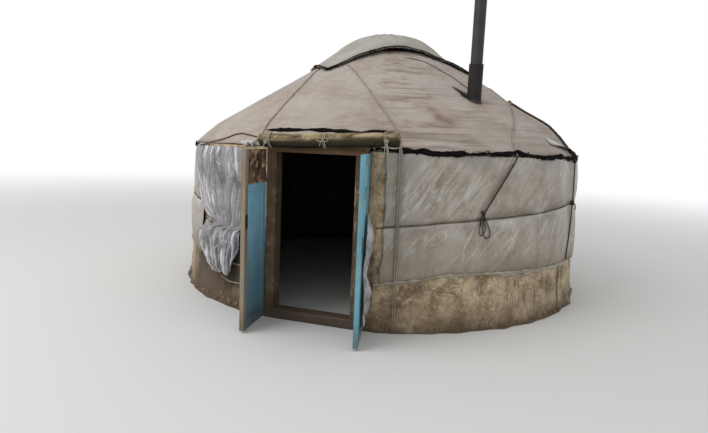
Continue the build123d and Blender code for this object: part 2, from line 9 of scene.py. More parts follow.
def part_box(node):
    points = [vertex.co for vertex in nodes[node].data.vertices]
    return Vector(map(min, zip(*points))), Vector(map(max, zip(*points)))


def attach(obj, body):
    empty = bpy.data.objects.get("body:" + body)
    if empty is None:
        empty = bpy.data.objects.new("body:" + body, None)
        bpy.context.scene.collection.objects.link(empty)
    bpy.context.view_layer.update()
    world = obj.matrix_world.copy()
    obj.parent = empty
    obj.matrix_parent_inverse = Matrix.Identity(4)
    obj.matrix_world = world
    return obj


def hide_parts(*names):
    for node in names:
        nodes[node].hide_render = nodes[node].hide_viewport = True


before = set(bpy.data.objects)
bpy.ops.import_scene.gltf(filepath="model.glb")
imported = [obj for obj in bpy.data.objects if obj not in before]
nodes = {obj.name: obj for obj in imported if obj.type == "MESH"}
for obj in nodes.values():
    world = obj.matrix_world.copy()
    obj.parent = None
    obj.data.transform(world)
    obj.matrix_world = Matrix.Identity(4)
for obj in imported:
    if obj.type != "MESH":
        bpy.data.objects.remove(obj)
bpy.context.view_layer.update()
print("frame loaded:", len(nodes), "nodes")

# Metres. An azimuth is in degrees, counted from the doorway (-Y) towards +X.


# Camera, floor and light

camera = {
    "place": (1.896, -7.135, 1.762),
    "turn": 17.717,  # degrees from straight at the doorway
    "tilt": 7.847,
    "roll": 2.448,
    "lens": 27.275,
    "sensor": 36.0,
}


def setCamera(values):
    turn, tilt, roll = (math.radians(values[k]) for k in ("turn", "tilt", "roll"))
    side = np.array([math.cos(turn), math.sin(turn), 0.0])
    ahead = np.array([-math.sin(turn), math.cos(turn), 0.0])
    rise = np.array([0.0, 0.0, 1.0])
    look = math.cos(tilt) * ahead - math.sin(tilt) * rise
    over = math.sin(tilt) * ahead + math.cos(tilt) * rise
    right = math.cos(roll) * side + math.sin(roll) * over
    up = math.cos(roll) * over - math.sin(roll) * side
    data = bpy.data.cameras.new("camera")
    data.sensor_fit = "HORIZONTAL"
    data.sensor_width = values["sensor"]
    data.lens = values["lens"]
    data.clip_end = 200.0
    eye = bpy.data.objects.new("camera", data)
    matrix = Matrix([list(row) for row in np.column_stack([right, up, -look])]).to_4x4()
    matrix.translation = values["place"]
    eye.matrix_world = matrix
    bpy.context.scene.collection.objects.link(eye)
    bpy.context.scene.camera = eye


setCamera(camera)
bpy.context.scene.view_settings.view_transform = "Standard"

light = {
    "sky": 0.8,
    "lampPower": 620.0,
    "lampSize": 7.0,
    "lampPlace": (-5.5, -8.0, 9.0),
    "lampAim": (0.0, 0.0, 1.2),
    "floorColour": (0.62, 0.62, 0.61, 1.0),
    "floorRadius": 60.0,
    "floorHeight": -0.002,
    "floorSides": 96,
    "floorFade": (4.0, 22.0),  # between these radii the floor turns white to the camera
}


def makeNode(tree, kind, inputs=None, **settings):
    node = tree.nodes.new(kind)
    for name, value in settings.items():
        setattr(node, name, value)
    for name, value in (inputs or {}).items():
        if isinstance(value, bpy.types.NodeSocket):
            tree.links.new(value, node.inputs[name])
        else:
            node.inputs[name].default_value = value
    return node


def maths(tree, operation, *values):
    return makeNode(tree, "ShaderNodeMath", dict(enumerate(values)), operation=operation).outputs[0]


def vectorMaths(tree, operation, first, second=None, output="Vector"):
    inputs = {0: first}
    if second is not None:
        inputs[3 if operation == "SCALE" else 1] = second
    return makeNode(tree, "ShaderNodeVectorMath", inputs, operation=operation).outputs[output]


def ramp(tree, value, low, high, first=0.0, last=1.0, kind="SMOOTHSTEP"):
    inputs = {"Value": value, "From Min": low, "From Max": high, "To Min": first, "To Max": last}
    return makeNode(tree, "ShaderNodeMapRange", inputs, interpolation_type=kind).outputs["Result"]


def noiseMask(tree, place, scale, detail, rough=0.5, distortion=0.0, seed=None):
    inputs = {"Vector": place, "Scale": scale, "Detail": detail, "Roughness": rough, "Distortion": distortion}
    if seed is None:
        return makeNode(tree, "ShaderNodeTexNoise", inputs).outputs["Fac"]
    return makeNode(tree, "ShaderNodeTexNoise", {**inputs, "W": seed}, noise_dimensions="4D").outputs["Fac"]


def ownPlace(tree):
    return makeNode(tree, "ShaderNodeTexCoord").outputs["Object"]


def ownCloth(tree):
    return makeNode(tree, "ShaderNodeUVMap", uv_map="UVMap").outputs["UV"]


def plainMaterial(name):
    material = bpy.data.materials.new(name)
    material.use_nodes = True
    material.node_tree.nodes.clear()
    return material, material.node_tree


def setStage(values):
    world = bpy.data.worlds.new("world")
    bpy.context.scene.world = world
    world.use_nodes = True
    tree = world.node_tree
    tree.nodes.clear()
    path = makeNode(tree, "ShaderNodeLightPath").outputs
    seen = maths(tree, "MAXIMUM", path["Is Camera Ray"], path["Is Glossy Ray"])
    seen = maths(tree, "MAXIMUM", seen, path["Is Transmission Ray"])
    level = ramp(tree, seen, 0.0, 1.0, values["sky"], 1.0, "LINEAR")
    back = makeNode(tree, "ShaderNodeBackground", {"Color": (1, 1, 1, 1), "Strength": level})
    makeNode(tree, "ShaderNodeOutputWorld", {0: back.outputs[0]})

    count, radius = values["floorSides"], values["floorRadius"]
    turns = [math.tau * i / count for i in range(count)]
    corners = [(radius * math.cos(turn), radius * math.sin(turn), values["floorHeight"]) for turn in turns]
    mesh = bpy.data.meshes.new("floor")
    mesh.from_pydata(corners, [], [list(range(count))])
    floor = bpy.data.objects.new("floor", mesh)
    bpy.context.scene.collection.objects.link(floor)
    material, tree = plainMaterial("floorPale")
    far = vectorMaths(tree, "LENGTH", ownPlace(tree), output="Value")
    seen = makeNode(tree, "ShaderNodeLightPath").outputs["Is Camera Ray"]
    shader = makeNode(tree, "ShaderNodeBsdfPrincipled", {
        "Base Color": values["floorColour"], "Roughness": 0.9})
    glow = makeNode(tree, "ShaderNodeEmission", {"Color": (1, 1, 1, 1), "Strength": 1.0})
    share = maths(tree, "MULTIPLY", ramp(tree, far, *values["floorFade"]), seen)
    mix = makeNode(tree, "ShaderNodeMixShader", {0: share, 1: shader.outputs[0], 2: glow.outputs[0]})
    makeNode(tree, "ShaderNodeOutputMaterial", {0: mix.outputs[0]})
    mesh.materials.append(material)

    lamp = bpy.data.lights.new("softLamp", "AREA")
    lamp.size = values["lampSize"]
    lamp.energy = values["lampPower"]
    holder = bpy.data.objects.new("softLamp", lamp)
    ahead = Vector(values["lampAim"]) - Vector(values["lampPlace"])
    turned = ahead.to_track_quat("-Z", "Y").to_matrix().to_4x4()
    holder.matrix_world = Matrix.Translation(values["lampPlace"]) @ turned
    bpy.context.scene.collection.objects.link(holder)


setStage(light)
print("camera, floor and light set")


# Smooth random fields, each from its own seed

def softNoise(u, v, seed, wrap=64):
    table = np.random.default_rng(seed).uniform(-1.0, 1.0, (wrap, 64))
    u, v = np.broadcast_arrays(np.asarray(u, float), np.asarray(v, float))
    i, j = np.floor(u).astype(int), np.floor(v).astype(int)
    fu, fv = u - i, v - j
    fu, fv = fu * fu * (3 - 2 * fu), fv * fv * (3 - 2 * fv)
    a, b = table[i % wrap, j % 64], table[(i + 1) % wrap, j % 64]
    c, d = table[i % wrap, (j + 1) % 64], table[(i + 1) % wrap, (j + 1) % 64]
    return (a * (1 - fu) + b * fu) * (1 - fv) + (c * (1 - fu) + d * fu) * fv


def roundNoise(azimuth, across, cells, seed, layers=2, slant=0.0):
    total, size = 0.0, 1.0
    for k in range(layers):
        count = cells * 2**k
        u = np.asarray(azimuth, float) / 360.0 * count + slant * across * 2**k
        total = total + size * softNoise(u, across * 2**k, seed + k, count)
        size *= 0.5
    return total


def bump(x, middle, halfWidth):
    return np.exp(-(((np.asarray(x, float) - middle) / halfWidth) ** 2))


def smoothStep(x, low, high):
    t = np.clip((np.asarray(x, float) - low) / (high - low), 0.0, 1.0)
    return t * t * (3 - 2 * t)


def ridge(noise, width):
    # A thin line wherever the noise passes through nought
    return np.exp(-((noise / width) ** 2))


def wrapped(azimuth):
    return (np.asarray(azimuth, float) + 180.0) % 360.0 - 180.0


def smoothed(values, spread, mirrored=False):
    # A rolling average that keeps the ends in their place, or levels the first one
    reach = int(3 * spread)
    kernel = np.exp(-0.5 * (np.arange(-reach, reach + 1) / spread) ** 2)
    kernel /= kernel.sum()
    before = values[reach:0:-1] if mirrored else 2 * values[0] - values[reach:0:-1]
    after = 2 * values[-1] - values[-2:-reach - 2:-1]
    return np.convolve(np.concatenate([before, values, after]), kernel, "valid")


def boxed(values, count):
    return np.convolve(np.pad(values, count // 2, "edge"), np.ones(count) / count, "valid")


def polar(radius, azimuth, height):
    turn = np.radians(azimuth)
    return np.stack(np.broadcast_arrays(radius * np.sin(turn), -radius * np.cos(turn), height), -1)


def outwards(azimuth):
    return polar(1.0, azimuth, 0.0)


def lengthsAlong(points):
    return np.concatenate([[0], np.cumsum(np.linalg.norm(np.diff(points, axis=0), axis=1))])


# The tent's skin: its profile from crown to ground, and what lies on it

skin = {
    "wallFoot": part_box("wall_felt_2")[1].x,
    "eave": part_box("roof_canvas")[1].x,
    "eaveHeight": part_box("roof_canvas")[0].z,
    "overhang": 0.013,
    "roofTop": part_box("roof_canvas")[1].z,
    "lowBend": (2.345, 1.79),
    "highBend": (2.19, 1.925),
    "topRadius": 0.64,
    "poles": 32,
    "facetInset": 0.0048,  # how far the flats between the poles lie in, as a share of the radius
    "plainProfile": ((0.0, 2.5), (1.69, 2.43), (2.88, 0.64)),  # height and radius
    "wallMiddle": 2.47,  # the wall's mean radius
    "step": 0.01,
    "spread": 3.0,  # how far the profile's bends are smoothed, in steps
}

profileLine = np.array([
    (skin["topRadius"], skin["roofTop"]),
    skin["highBend"],
    skin["lowBend"],
    (skin["eave"], skin["eaveHeight"]),
])


def smoothedProfile(line):
    # Lengths along the roof from its top down, with the radius, the height and the way outwards at each
    lengths = lengthsAlong(line)
    q = np.arange(0, lengths[-1], skin["step"])
    r, z = (smoothed(np.interp(q, lengths, line[:, k]), skin["spread"]) for k in (0, 1))
    dr, dz = np.gradient(r), np.gradient(z)
    length = np.hypot(dr, dz)
    return q, r, z, -dz / length, dr / length


roofQ, roofR, roofZ, roofNR, roofNZ = smoothedProfile(profileLine)
roofLength = roofQ[-1]

ropes = {
    "liftAtEave": 0.02,
    "liftAtFoot": 0.01,
    "step": 0.012,
    "spread": 4.0,
    # Azimuth and height along each rope, from its top down
    "routes": (
        ((-13.5, 2.665), (18.1, 1.86), (18.4, 1.69), (18.5, 0.11)),
        ((-39.5, 2.64), (-17.3, 1.815), (-17, 1.69), (-16.5, 0.11)),
        ((84, 2.285), (73, 2.235), (63, 2.116), (55, 1.994), (48.8, 1.844), (46.5, 1.69), (38, 1.13)),
        ((86, 2.46), (85, 2.3), (84, 2.1), (80, 1.9), (75.8, 1.69), (75.8, 1.2), (74.6, 0.87),
         (72.1, 0.57)),
        ((136, 2.64), (140, 1.69), (139, 0.11)),
        ((180, 2.59), (178, 1.69), (178, 0.11)),
        ((218, 2.56), (226, 1.69), (226, 0.11)),
        ((266, 2.74), (270, 1.69), (270, 0.11)),
    ),
    "thick": (0.0085, 0.0075, 0.0095, 0.016, 0.011, 0.011, 0.011, 0.011),
    "dark": (False, False, True, True, False, False, False, False),
    "doubled": (1.8, 0.42, 0.9),  # the first one, below this height: how far aside and how thick
    "thinOnRoof": 0.0062,  # the third one
    "tied": (2.29, 0.45, 0.5),  # the fourth one's knot, and how thick it is above it and down the wall
    "thread": ((29.9, 2.785), (45.2, 2.737), (50.6, 2.625), (53.6, 2.503), (54.8, 2.371)),
    "threadRadius": 0.006,
    "twist": 14.0,  # turns in a metre
}

belts = {
    "middle": ((14, 0.98), (30, 1.057), (73, 1.176), (180, 1.21), (290, 1.09), (346, 0.99)),
    "lower": ((14, 0.445), (31, 0.56), (77, 0.545), (180, 0.56), (300, 0.52), (346, 0.45)),
    "step": 0.4,
    "onSheet": (14.9, 322.5),  # between these azimuths a belt lies on a sheet, and elsewhere on felt
    # Piece, node, course, width, thickness, look, how lumpy, and turns in a metre
    "made": (("middleBelt", "middle_belt", "middle", 0.013, 0.01, "brownCord", 0.25, 9.0),
             ("lowerBand", "lower_band", "lower", 0.026, 0.017, "creamBand", 0.55, 4.0)),
}


def beltHeight(route, azimuth):
    places = np.array(route)
    return np.interp(np.asarray(azimuth) % 360.0, places[:, 0], places[:, 1])


def scallop(azimuth):
    return 1.0 - skin["facetInset"] * 0.5 * (1.0 - np.cos(np.radians(np.asarray(azimuth) * skin["poles"])))


roofShape = {
    "bulgeAzimuth": 86.0,
    "bulgeHalfWidth": 64.0,
    # How far the real roof stands out beyond the CAD's straight line, by radius
    "bulge": ((0.64, 0.03), (1.33, 0.05), (1.57, 0.03), (1.8, 0.038), (2.00, 0.05), (2.08, 0.048),
              (2.2, 0.022), (2.3, 0.008), (2.44, 0.0)),
    "drawnWrinkle": 0.003,
    "thinWrinkle": 0.006,
    "bunchedFold": 0.013,
    "lump": 0.0045,
    "ropeGroove": 0.004,
}


def ropeCloseness(azimuth, height, halfWidth):
    near = np.zeros(np.broadcast(azimuth, height).shape)
    line = np.array(skin["plainProfile"])
    for route in ropes["routes"]:
        places = np.array(sorted(route, key=lambda p: p[1]))
        along = np.interp(height, places[:, 1], places[:, 0])
        inside = (height >= places[0, 1]) & (height <= places[-1, 1] + 0.02)
        away = np.radians(wrapped(azimuth - along)) * np.interp(height, line[:, 0], line[:, 1])
        near = np.maximum(near, bump(away, 0.0, halfWidth) * inside)
    return near


def drawnLines(azimuth, q):
    # Thin wrinkles that run round the roof, and a few that slant
    front = wrapped(azimuth)
    share = 0.12 + 0.88 * smoothStep(front, 9, 16) * (1 - 0.65 * smoothStep(front, 30, 50))
    patchy = smoothStep(roundNoise(azimuth, q * 2.6, 24, 221, 2), -0.95, 0.25)
    level = ridge(roundNoise(azimuth, q * 21.0, 12, 223, 2, 0.1), 0.13)
    sagging = ridge(roundNoise(azimuth, q * 13.0, 8, 225, 1, -0.16), 0.09)
    slanting = ridge(roundNoise(azimuth, q * 3.0, 60, 227, 1, 1.2), 0.06) * smoothStep(q, 0.1, 0.4)
    return share * patchy * np.maximum(level, sagging) + 0.14 * patchy * slanting


def roofOut(azimuth, q):
    values = roofShape
    azimuth, q = np.broadcast_arrays(np.asarray(azimuth, float), np.asarray(q, float))
    radius, height = np.interp(q, roofQ, roofR), np.interp(q, roofQ, roofZ)
    front = wrapped(azimuth)
    side = np.clip(np.abs(wrapped(azimuth - values["bulgeAzimuth"])) / values["bulgeHalfWidth"], 0, 1)
    places = np.array(values["bulge"])
    out = np.cos(side * math.pi / 2) ** 2 * np.interp(radius, places[:, 0], places[:, 1])
    eaveLeft = roofLength - q
    out += values["lump"] * (1 + roundNoise(azimuth, q * 3.2, 40, 11)) * smoothStep(q, 0.0, 0.4) * 0.6
    # Fine wrinkles drawn round the roof, most at the right of the doorway
    drawn = 0.25 + 0.75 * smoothStep(front, 17, 22) * (1 - smoothStep(front, 66, 80))
    drawn *= 1 - 0.7 * (np.abs(front) < 17)
    warp = 0.05 * roundNoise(azimuth, q * 2.0, 30, 21, 1)
    out += values["drawnWrinkle"] * drawn * roundNoise(azimuth, (q + warp) * 19.0, 22, 23)
    out -= values["thinWrinkle"] * drawnLines(azimuth, q)
    # Folds bunched over the eave, slanting
    bunched = bump(front, 33, 13) * bump(eaveLeft, 0.1, 0.11) + 0.35 * bump(eaveLeft, 0.05, 0.09)
    out += values["bunchedFold"] * bunched * np.abs(roundNoise(azimuth, eaveLeft * 5.0 + 3, 76, 31, 2, 2.4))
    out -= values["ropeGroove"] * ropeCloseness(azimuth, height, 0.022)
    return out


def roofPoint(azimuth, q, out=0.0):
    azimuth, q = np.broadcast_arrays(np.asarray(azimuth, float), np.asarray(q, float))
    lift = out + roofOut(azimuth, q)
    radius = np.interp(q, roofQ, roofR) * scallop(azimuth) + lift * np.interp(q, roofQ, roofNR)
    return polar(radius, azimuth, np.interp(q, roofQ, roofZ) + lift * np.interp(q, roofQ, roofNZ))


def roofPlace(height):
    return np.interp(height, roofZ[::-1], roofQ[::-1])


def wallRadius(height):
    top = skin["eave"] - skin["overhang"]
    return skin["wallFoot"] + (top - skin["wallFoot"]) * np.asarray(height) / skin["eaveHeight"]


def wallPoint(azimuth, height, out=0.0):
    return polar(wallRadius(height) * scallop(azimuth) + out, azimuth, height)


feltShape = {
    "least": 0.0005,
    "lump": 0.0035,
    "footFlare": 0.02,
    "footReach": 0.07,
    "lowBulge": 0.006,
    "flatBeside": (12.6, 15.6),  # flat beside the doorway, where the leaves swing back
}


def feltOut(azimuth, height):
    values = feltShape
    lump = values["lump"] * (1 + roundNoise(azimuth, height * 7.0, 72, 41)) * 0.5
    foot = values["footFlare"] * np.exp(-np.maximum(height, 0) / values["footReach"])
    foot = foot * (1 + 0.8 * roundNoise(azimuth, height * 3, 120, 43, 1))
    low = values["lowBulge"] * (1 - smoothStep(height, 0.1, 0.5))
    low = low * (1 + roundNoise(azimuth, height * 5, 51, 45, 1))
    return values["least"] + lump + (foot + low) * smoothStep(np.abs(wrapped(azimuth)), *values["flatBeside"])


# Mesh helpers

def newPiece(name, points, faces, material, fields=None, uv=None):
    mesh = bpy.data.meshes.new(name)
    mesh.from_pydata([tuple(p) for p in points], [], faces)
    mesh.polygons.foreach_set("use_smooth", [True] * len(mesh.polygons))
    for key, values in (fields or {}).items():
        field = mesh.attributes.new(key, "FLOAT", "POINT")
        field.data.foreach_set("value", np.asarray(values, np.float32).ravel())
    if uv is not None:
        layer = mesh.uv_layers.new(name="UVMap")
        corners = np.zeros(len(mesh.loops), int)
        mesh.loops.foreach_get("vertex_index", corners)
        layer.data.foreach_set("uv", np.asarray(uv, np.float32)[corners].ravel())
    mesh.update()
    piece = bpy.data.objects.new(name, mesh)
    bpy.context.scene.collection.objects.link(piece)
    if material:
        mesh.materials.append(material)
    return piece


def gridFaces(countU, countV, closeU=False, closeV=False):
    i = np.arange(countU if closeU else countU - 1)
    j = np.arange(countV if closeV else countV - 1)
    i, j = np.meshgrid(i, j, indexing="ij")
    i, j = i.ravel(), j.ravel()
    ni, nj = (i + 1) % countU, (j + 1) % countV
    return np.stack([i * countV + j, ni * countV + j, ni * countV + nj, i * countV + nj], -1).tolist()


def clothPiece(name, points, look, thickness, fields=None, closeU=False):
    countU, countV = points.shape[:2]
    stepU = np.linalg.norm(np.diff(points, axis=0), axis=2).mean(1)
    stepV = np.linalg.norm(np.diff(points, axis=1), axis=2).mean(0)
    alongU, alongV = (np.concatenate([[0], np.cumsum(step)]) for step in (stepU, stepV))
    uv = np.stack(np.meshgrid(alongU, alongV, indexing="ij"), -1).reshape(-1, 2)
    piece = newPiece(name, points.reshape(-1, 3), gridFaces(countU, countV, closeU), looks[look], fields, uv)
    solid = piece.modifiers.new("thickness", "SOLIDIFY")
    solid.thickness = thickness
    solid.offset = -1.0
    solid.use_even_offset = False
    return piece


def sweepMesh(path, ups, section, turns=0.0, sizes=None, closed=False):
    path, ups, section = (np.asarray(given, float) for given in (path, ups, section))
    count, sides = len(path), len(section)
    along = np.roll(path, -1, 0) - np.roll(path, 1, 0) if closed else np.gradient(path, axis=0)
    along /= np.linalg.norm(along, axis=1)[:, None]
    across = np.cross(along, ups)
    across /= np.linalg.norm(across, axis=1)[:, None]
    rise = np.cross(across, along)
    steps = lengthsAlong(path)
    turn = steps * turns * math.tau
    size = np.ones(count) if sizes is None else np.asarray(sizes, float)
    cos, sin = np.cos(turn)[:, None], np.sin(turn)[:, None]
    sx = (section[None, :, 0] * cos - section[None, :, 1] * sin) * size[:, None]
    sy = (section[None, :, 0] * sin + section[None, :, 1] * cos) * size[:, None]
    points = path[:, None] + across[:, None] * sx[..., None] + rise[:, None] * sy[..., None]
    faces = gridFaces(count, sides, closed, True)
    if not closed:
        faces.append(list(range(sides))[::-1])
        faces.append([(count - 1) * sides + i for i in range(sides)])
    uv = np.stack(np.meshgrid(steps, np.linspace(0, 1, sides), indexing="ij"), -1).reshape(-1, 2)
    return points.reshape(-1, 3), faces, uv


def sweepPiece(name, parts, look):
    points, faces, uvs = [], [], []
    for part in parts:
        found, rows, uv = sweepMesh(**part)
        start = sum(len(p) for p in points)
        points.append(found)
        faces += [[start + i for i in row] for row in rows]
        uvs.append(uv)
    piece = newPiece(name, np.concatenate(points), faces, looks[look], None, np.concatenate(uvs))
    work = bmesh.new()
    work.from_mesh(piece.data)
    bmesh.ops.recalc_face_normals(work, faces=work.faces)
    work.to_mesh(piece.data)
    work.free()
    return piece


def ropeSection(radius, lobes=3, depth=0.22, count=15):
    turn = np.linspace(0, math.tau, count, endpoint=False)
    size = radius * (1 - depth * 0.5 * (1 - np.cos(lobes * turn)))
    return np.stack([size * np.cos(turn), size * np.sin(turn)], -1)


def ovalSection(width, height, count=10):
    turn = np.linspace(0, math.tau, count, endpoint=False)
    around = np.stack([np.cos(turn), np.sin(turn)], -1)
    return np.sign(around) * np.abs(around) ** 0.7 * [width / 2, height / 2]


def cordSection(radius, count=9):
    return ropeSection(radius, 3, 0.2, count)


def smoothRoute(route):
    # Over the roof a taut rope runs straight in plan, and down the wall straight in azimuth and height
    azimuths, heights, step = [], [], ropes["step"]
    for (a0, z0), (a1, z1) in zip(route, route[1:]):
        if min(z0, z1) >= skin["eaveHeight"] - 0.001:
            p0, p1 = (polar(np.interp(roofPlace(z), roofQ, roofR), a, 0.0)[:2]
                      for a, z in ((a0, z0), (a1, z1)))
            share = np.linspace(0, 1, max(int(np.linalg.norm(p1 - p0) / step), 3), endpoint=False)[:, None]
            plan = p0 * (1 - share) + p1 * share
            azimuths.append(np.degrees(np.unwrap(np.arctan2(plan[:, 0], -plan[:, 1]))))
            azimuths[-1] += 360.0 * round((a0 - azimuths[-1][0]) / 360.0)
            heights.append(np.interp(np.interp(np.hypot(*plan.T), roofR, roofQ), roofQ, roofZ))
        else:
            share = np.linspace(0, 1, max(int(abs(z1 - z0) / step), 3), endpoint=False)
            azimuths.append(a0 + (a1 - a0) * share)
            heights.append(z0 + (z1 - z0) * share)
    azimuths.append([route[-1][0]])
    heights.append([route[-1][1]])
    return np.stack([smoothed(np.concatenate(values), ropes["spread"]) for values in (azimuths, heights)], -1)


# Shader groups: each is built once and placed in the materials with its own values

def shaderGroup(name, inputs, outputs=("Mask",)):
    tree = bpy.data.node_groups.new(name, "ShaderNodeTree")
    for label, value in inputs.items():
        kind = "NodeSocketVector" if isinstance(value, tuple) else "NodeSocketFloat"
        tree.interface.new_socket(name=label, in_out="INPUT", socket_type=kind).default_value = value
    for label in outputs:
        tree.interface.new_socket(name=label, in_out="OUTPUT", socket_type="NodeSocketFloat")
    return tree, makeNode(tree, "NodeGroupInput").outputs, makeNode(tree, "NodeGroupOutput").inputs


def makeMottle():
    tree, given, result = shaderGroup("mottle", {"Scale": 4.0, "Stretch": (1.0, 1.0, 1.0), "Detail": 4.0,
                                                 "Low": 0.45, "High": 0.65})
    place = vectorMaths(tree, "MULTIPLY", ownPlace(tree), given["Stretch"])
    noise = noiseMask(tree, place, given["Scale"], given["Detail"], 0.6)
    tree.links.new(ramp(tree, noise, given["Low"], given["High"]), result["Mask"])
    return tree


def makeWeave():
    tree, given, result = shaderGroup("weave", {"Scale": 300.0, "Wander": 0.4}, ("Height",))
    inputs = {"Vector": ownCloth(tree), "Scale": given["Scale"], "Distortion": given["Wander"], "Detail": 1.0}
    waves = [makeNode(tree, "ShaderNodeTexWave", inputs, bands_direction=direction).outputs["Fac"]
             for direction in ("X", "Y")]
    tree.links.new(maths(tree, "MULTIPLY", *waves), result["Height"])
    return tree


def makeHeightFade():
    tree, given, result = shaderGroup("heightFade", {"Low": 0.0, "High": 0.35, "Wander": 0.25, "Scale": 5.0})
    place = ownPlace(tree)
    noise = noiseMask(tree, place, given["Scale"], 5.0, 0.65)
    drift = maths(tree, "MULTIPLY", maths(tree, "SUBTRACT", noise, 0.5), given["Wander"])
    height = maths(tree, "ADD", makeNode(tree, "ShaderNodeSeparateXYZ", {0: place}).outputs["Z"], drift)
    tree.links.new(ramp(tree, height, given["Low"], given["High"], 1.0, 0.0), result["Mask"])
    return tree


def makeGrain():
    tree, given, result = shaderGroup("woodGrain", {"Stretch": (30.0, 30.0, 1.5), "Contrast": 0.5},
                                      ("Mask", "Height"))
    place = vectorMaths(tree, "MULTIPLY", ownPlace(tree), given["Stretch"])
    broad = noiseMask(tree, place, 1.0, 6.0, 0.6, 0.6)
    fine = noiseMask(tree, place, 4.0, 3.0)
    low, high = (maths(tree, operation, 0.5, given["Contrast"]) for operation in ("SUBTRACT", "ADD"))
    tree.links.new(ramp(tree, broad, low, high, kind="LINEAR"), result["Mask"])
    tree.links.new(maths(tree, "ADD", broad, fine), result["Height"])
    return tree


def makeFlaking():
    tree, given, result = shaderGroup("flaking", {"Scale": 9.0, "Amount": 0.4, "Stretch": (2.0, 2.0, 0.6)})
    place = vectorMaths(tree, "MULTIPLY", ownPlace(tree), given["Stretch"])
    noise = noiseMask(tree, place, given["Scale"], 8.0, 0.72)
    edge = maths(tree, "SUBTRACT", 0.78, given["Amount"])
    tree.links.new(ramp(tree, noise, edge, maths(tree, "ADD", edge, 0.05)), result["Mask"])
    return tree


def makeInteriorShade():
    # Painted shade: a mask of what faces the middle of the room
    tree, given, result = shaderGroup("interiorShade", {"Softness": 0.2, "Edge": -0.3})
    surface = makeNode(tree, "ShaderNodeNewGeometry").outputs
    level = vectorMaths(tree, "MULTIPLY", surface["Position"], (1.0, 1.0, 0.0))
    outward = vectorMaths(tree, "NORMALIZE", level)
    facing = vectorMaths(tree, "DOT_PRODUCT", surface["True Normal"], outward, "Value")
    low = maths(tree, "SUBTRACT", given["Edge"], given["Softness"])
    tree.links.new(ramp(tree, facing, low, given["Edge"], 1.0, 0.0, "LINEAR"), result["Mask"])
    return tree


def makeDrawnLines():
    # Thin lines that run at an angle over a cloth's own surface, in metres
    tree, given, result = shaderGroup("drawnLines", {
        "Angle": 0.0, "Stretch": (3.0, 25.0, 1.0), "Width": 0.04, "Patches": 1.6, "Seed": 0.0})
    cloth = ownCloth(tree)
    turned = makeNode(tree, "ShaderNodeVectorRotate", {"Vector": cloth, "Angle": given["Angle"]},
                      rotation_type="Z_AXIS").outputs[0]
    place = vectorMaths(tree, "MULTIPLY", turned, given["Stretch"])
    noise = noiseMask(tree, place, 1.0, 1.2, 0.45, 0.45, given["Seed"])
    away = maths(tree, "ABSOLUTE", maths(tree, "SUBTRACT", noise, 0.5))
    line = ramp(tree, away, 0.0, given["Width"], 1.0, 0.0)
    share = ramp(tree, noiseMask(tree, cloth, given["Patches"], 3.0, seed=given["Seed"]), 0.4, 0.58)
    tree.links.new(maths(tree, "MULTIPLY", line, share), result["Mask"])
    return tree


groups = {"drawnLines": makeDrawnLines(), "interiorShade": makeInteriorShade(), "mottle": makeMottle(),
          "weave": makeWeave(), "heightFade": makeHeightFade(), "grain": makeGrain(), "flaking": makeFlaking()}


def placeGroup(tree, name, **values):
    node = makeNode(tree, "ShaderNodeGroup", node_tree=groups[name])
    for key, value in values.items():
        node.inputs[key[0].upper() + key[1:]].default_value = value
    return node.outputs


def mixColour(tree, share, first, second, strength=1.0):
    if strength != 1.0:
        share = maths(tree, "MULTIPLY", share, strength)
    first, second = (tone if isinstance(tone, bpy.types.NodeSocket) else (*tone, 1.0)
                     for tone in (first, second))
    return makeNode(tree, "ShaderNodeMix", {0: share, 6: first, 7: second}, data_type="RGBA").outputs[2]


def finishMaterial(tree, colour, rough, height, values, specular=0.5, sheen=0.0):
    strength, distance = values["bump"]
    relief = makeNode(tree, "ShaderNodeBump", {"Height": height, "Strength": strength, "Distance": distance})
    shader = makeNode(tree, "ShaderNodeBsdfPrincipled", {
        "Base Color": colour, "Roughness": rough, "Normal": relief.outputs[0], "Specular IOR Level": specular,
        "Sheen Weight": sheen})
    makeNode(tree, "ShaderNodeOutputMaterial", {0: shader.outputs[0]})
    return shader


def roughBy(tree, mask, low, high):
    return ramp(tree, mask, 0.0, 1.0, low, high, "LINEAR")


# Darkens things low down: dirt at their feet, and on the blue paint a painted shade
def dirtiedAndShaded(tree, colour, values, scale):
    for low, high, wander, tone, strength in values.get("dirtAndShade", ()):
        dirtAndShade = placeGroup(tree, "heightFade", low=low, high=high, wander=wander, scale=scale)[0]
        colour = mixColour(tree, dirtAndShade, colour, tone, strength)
    return colour


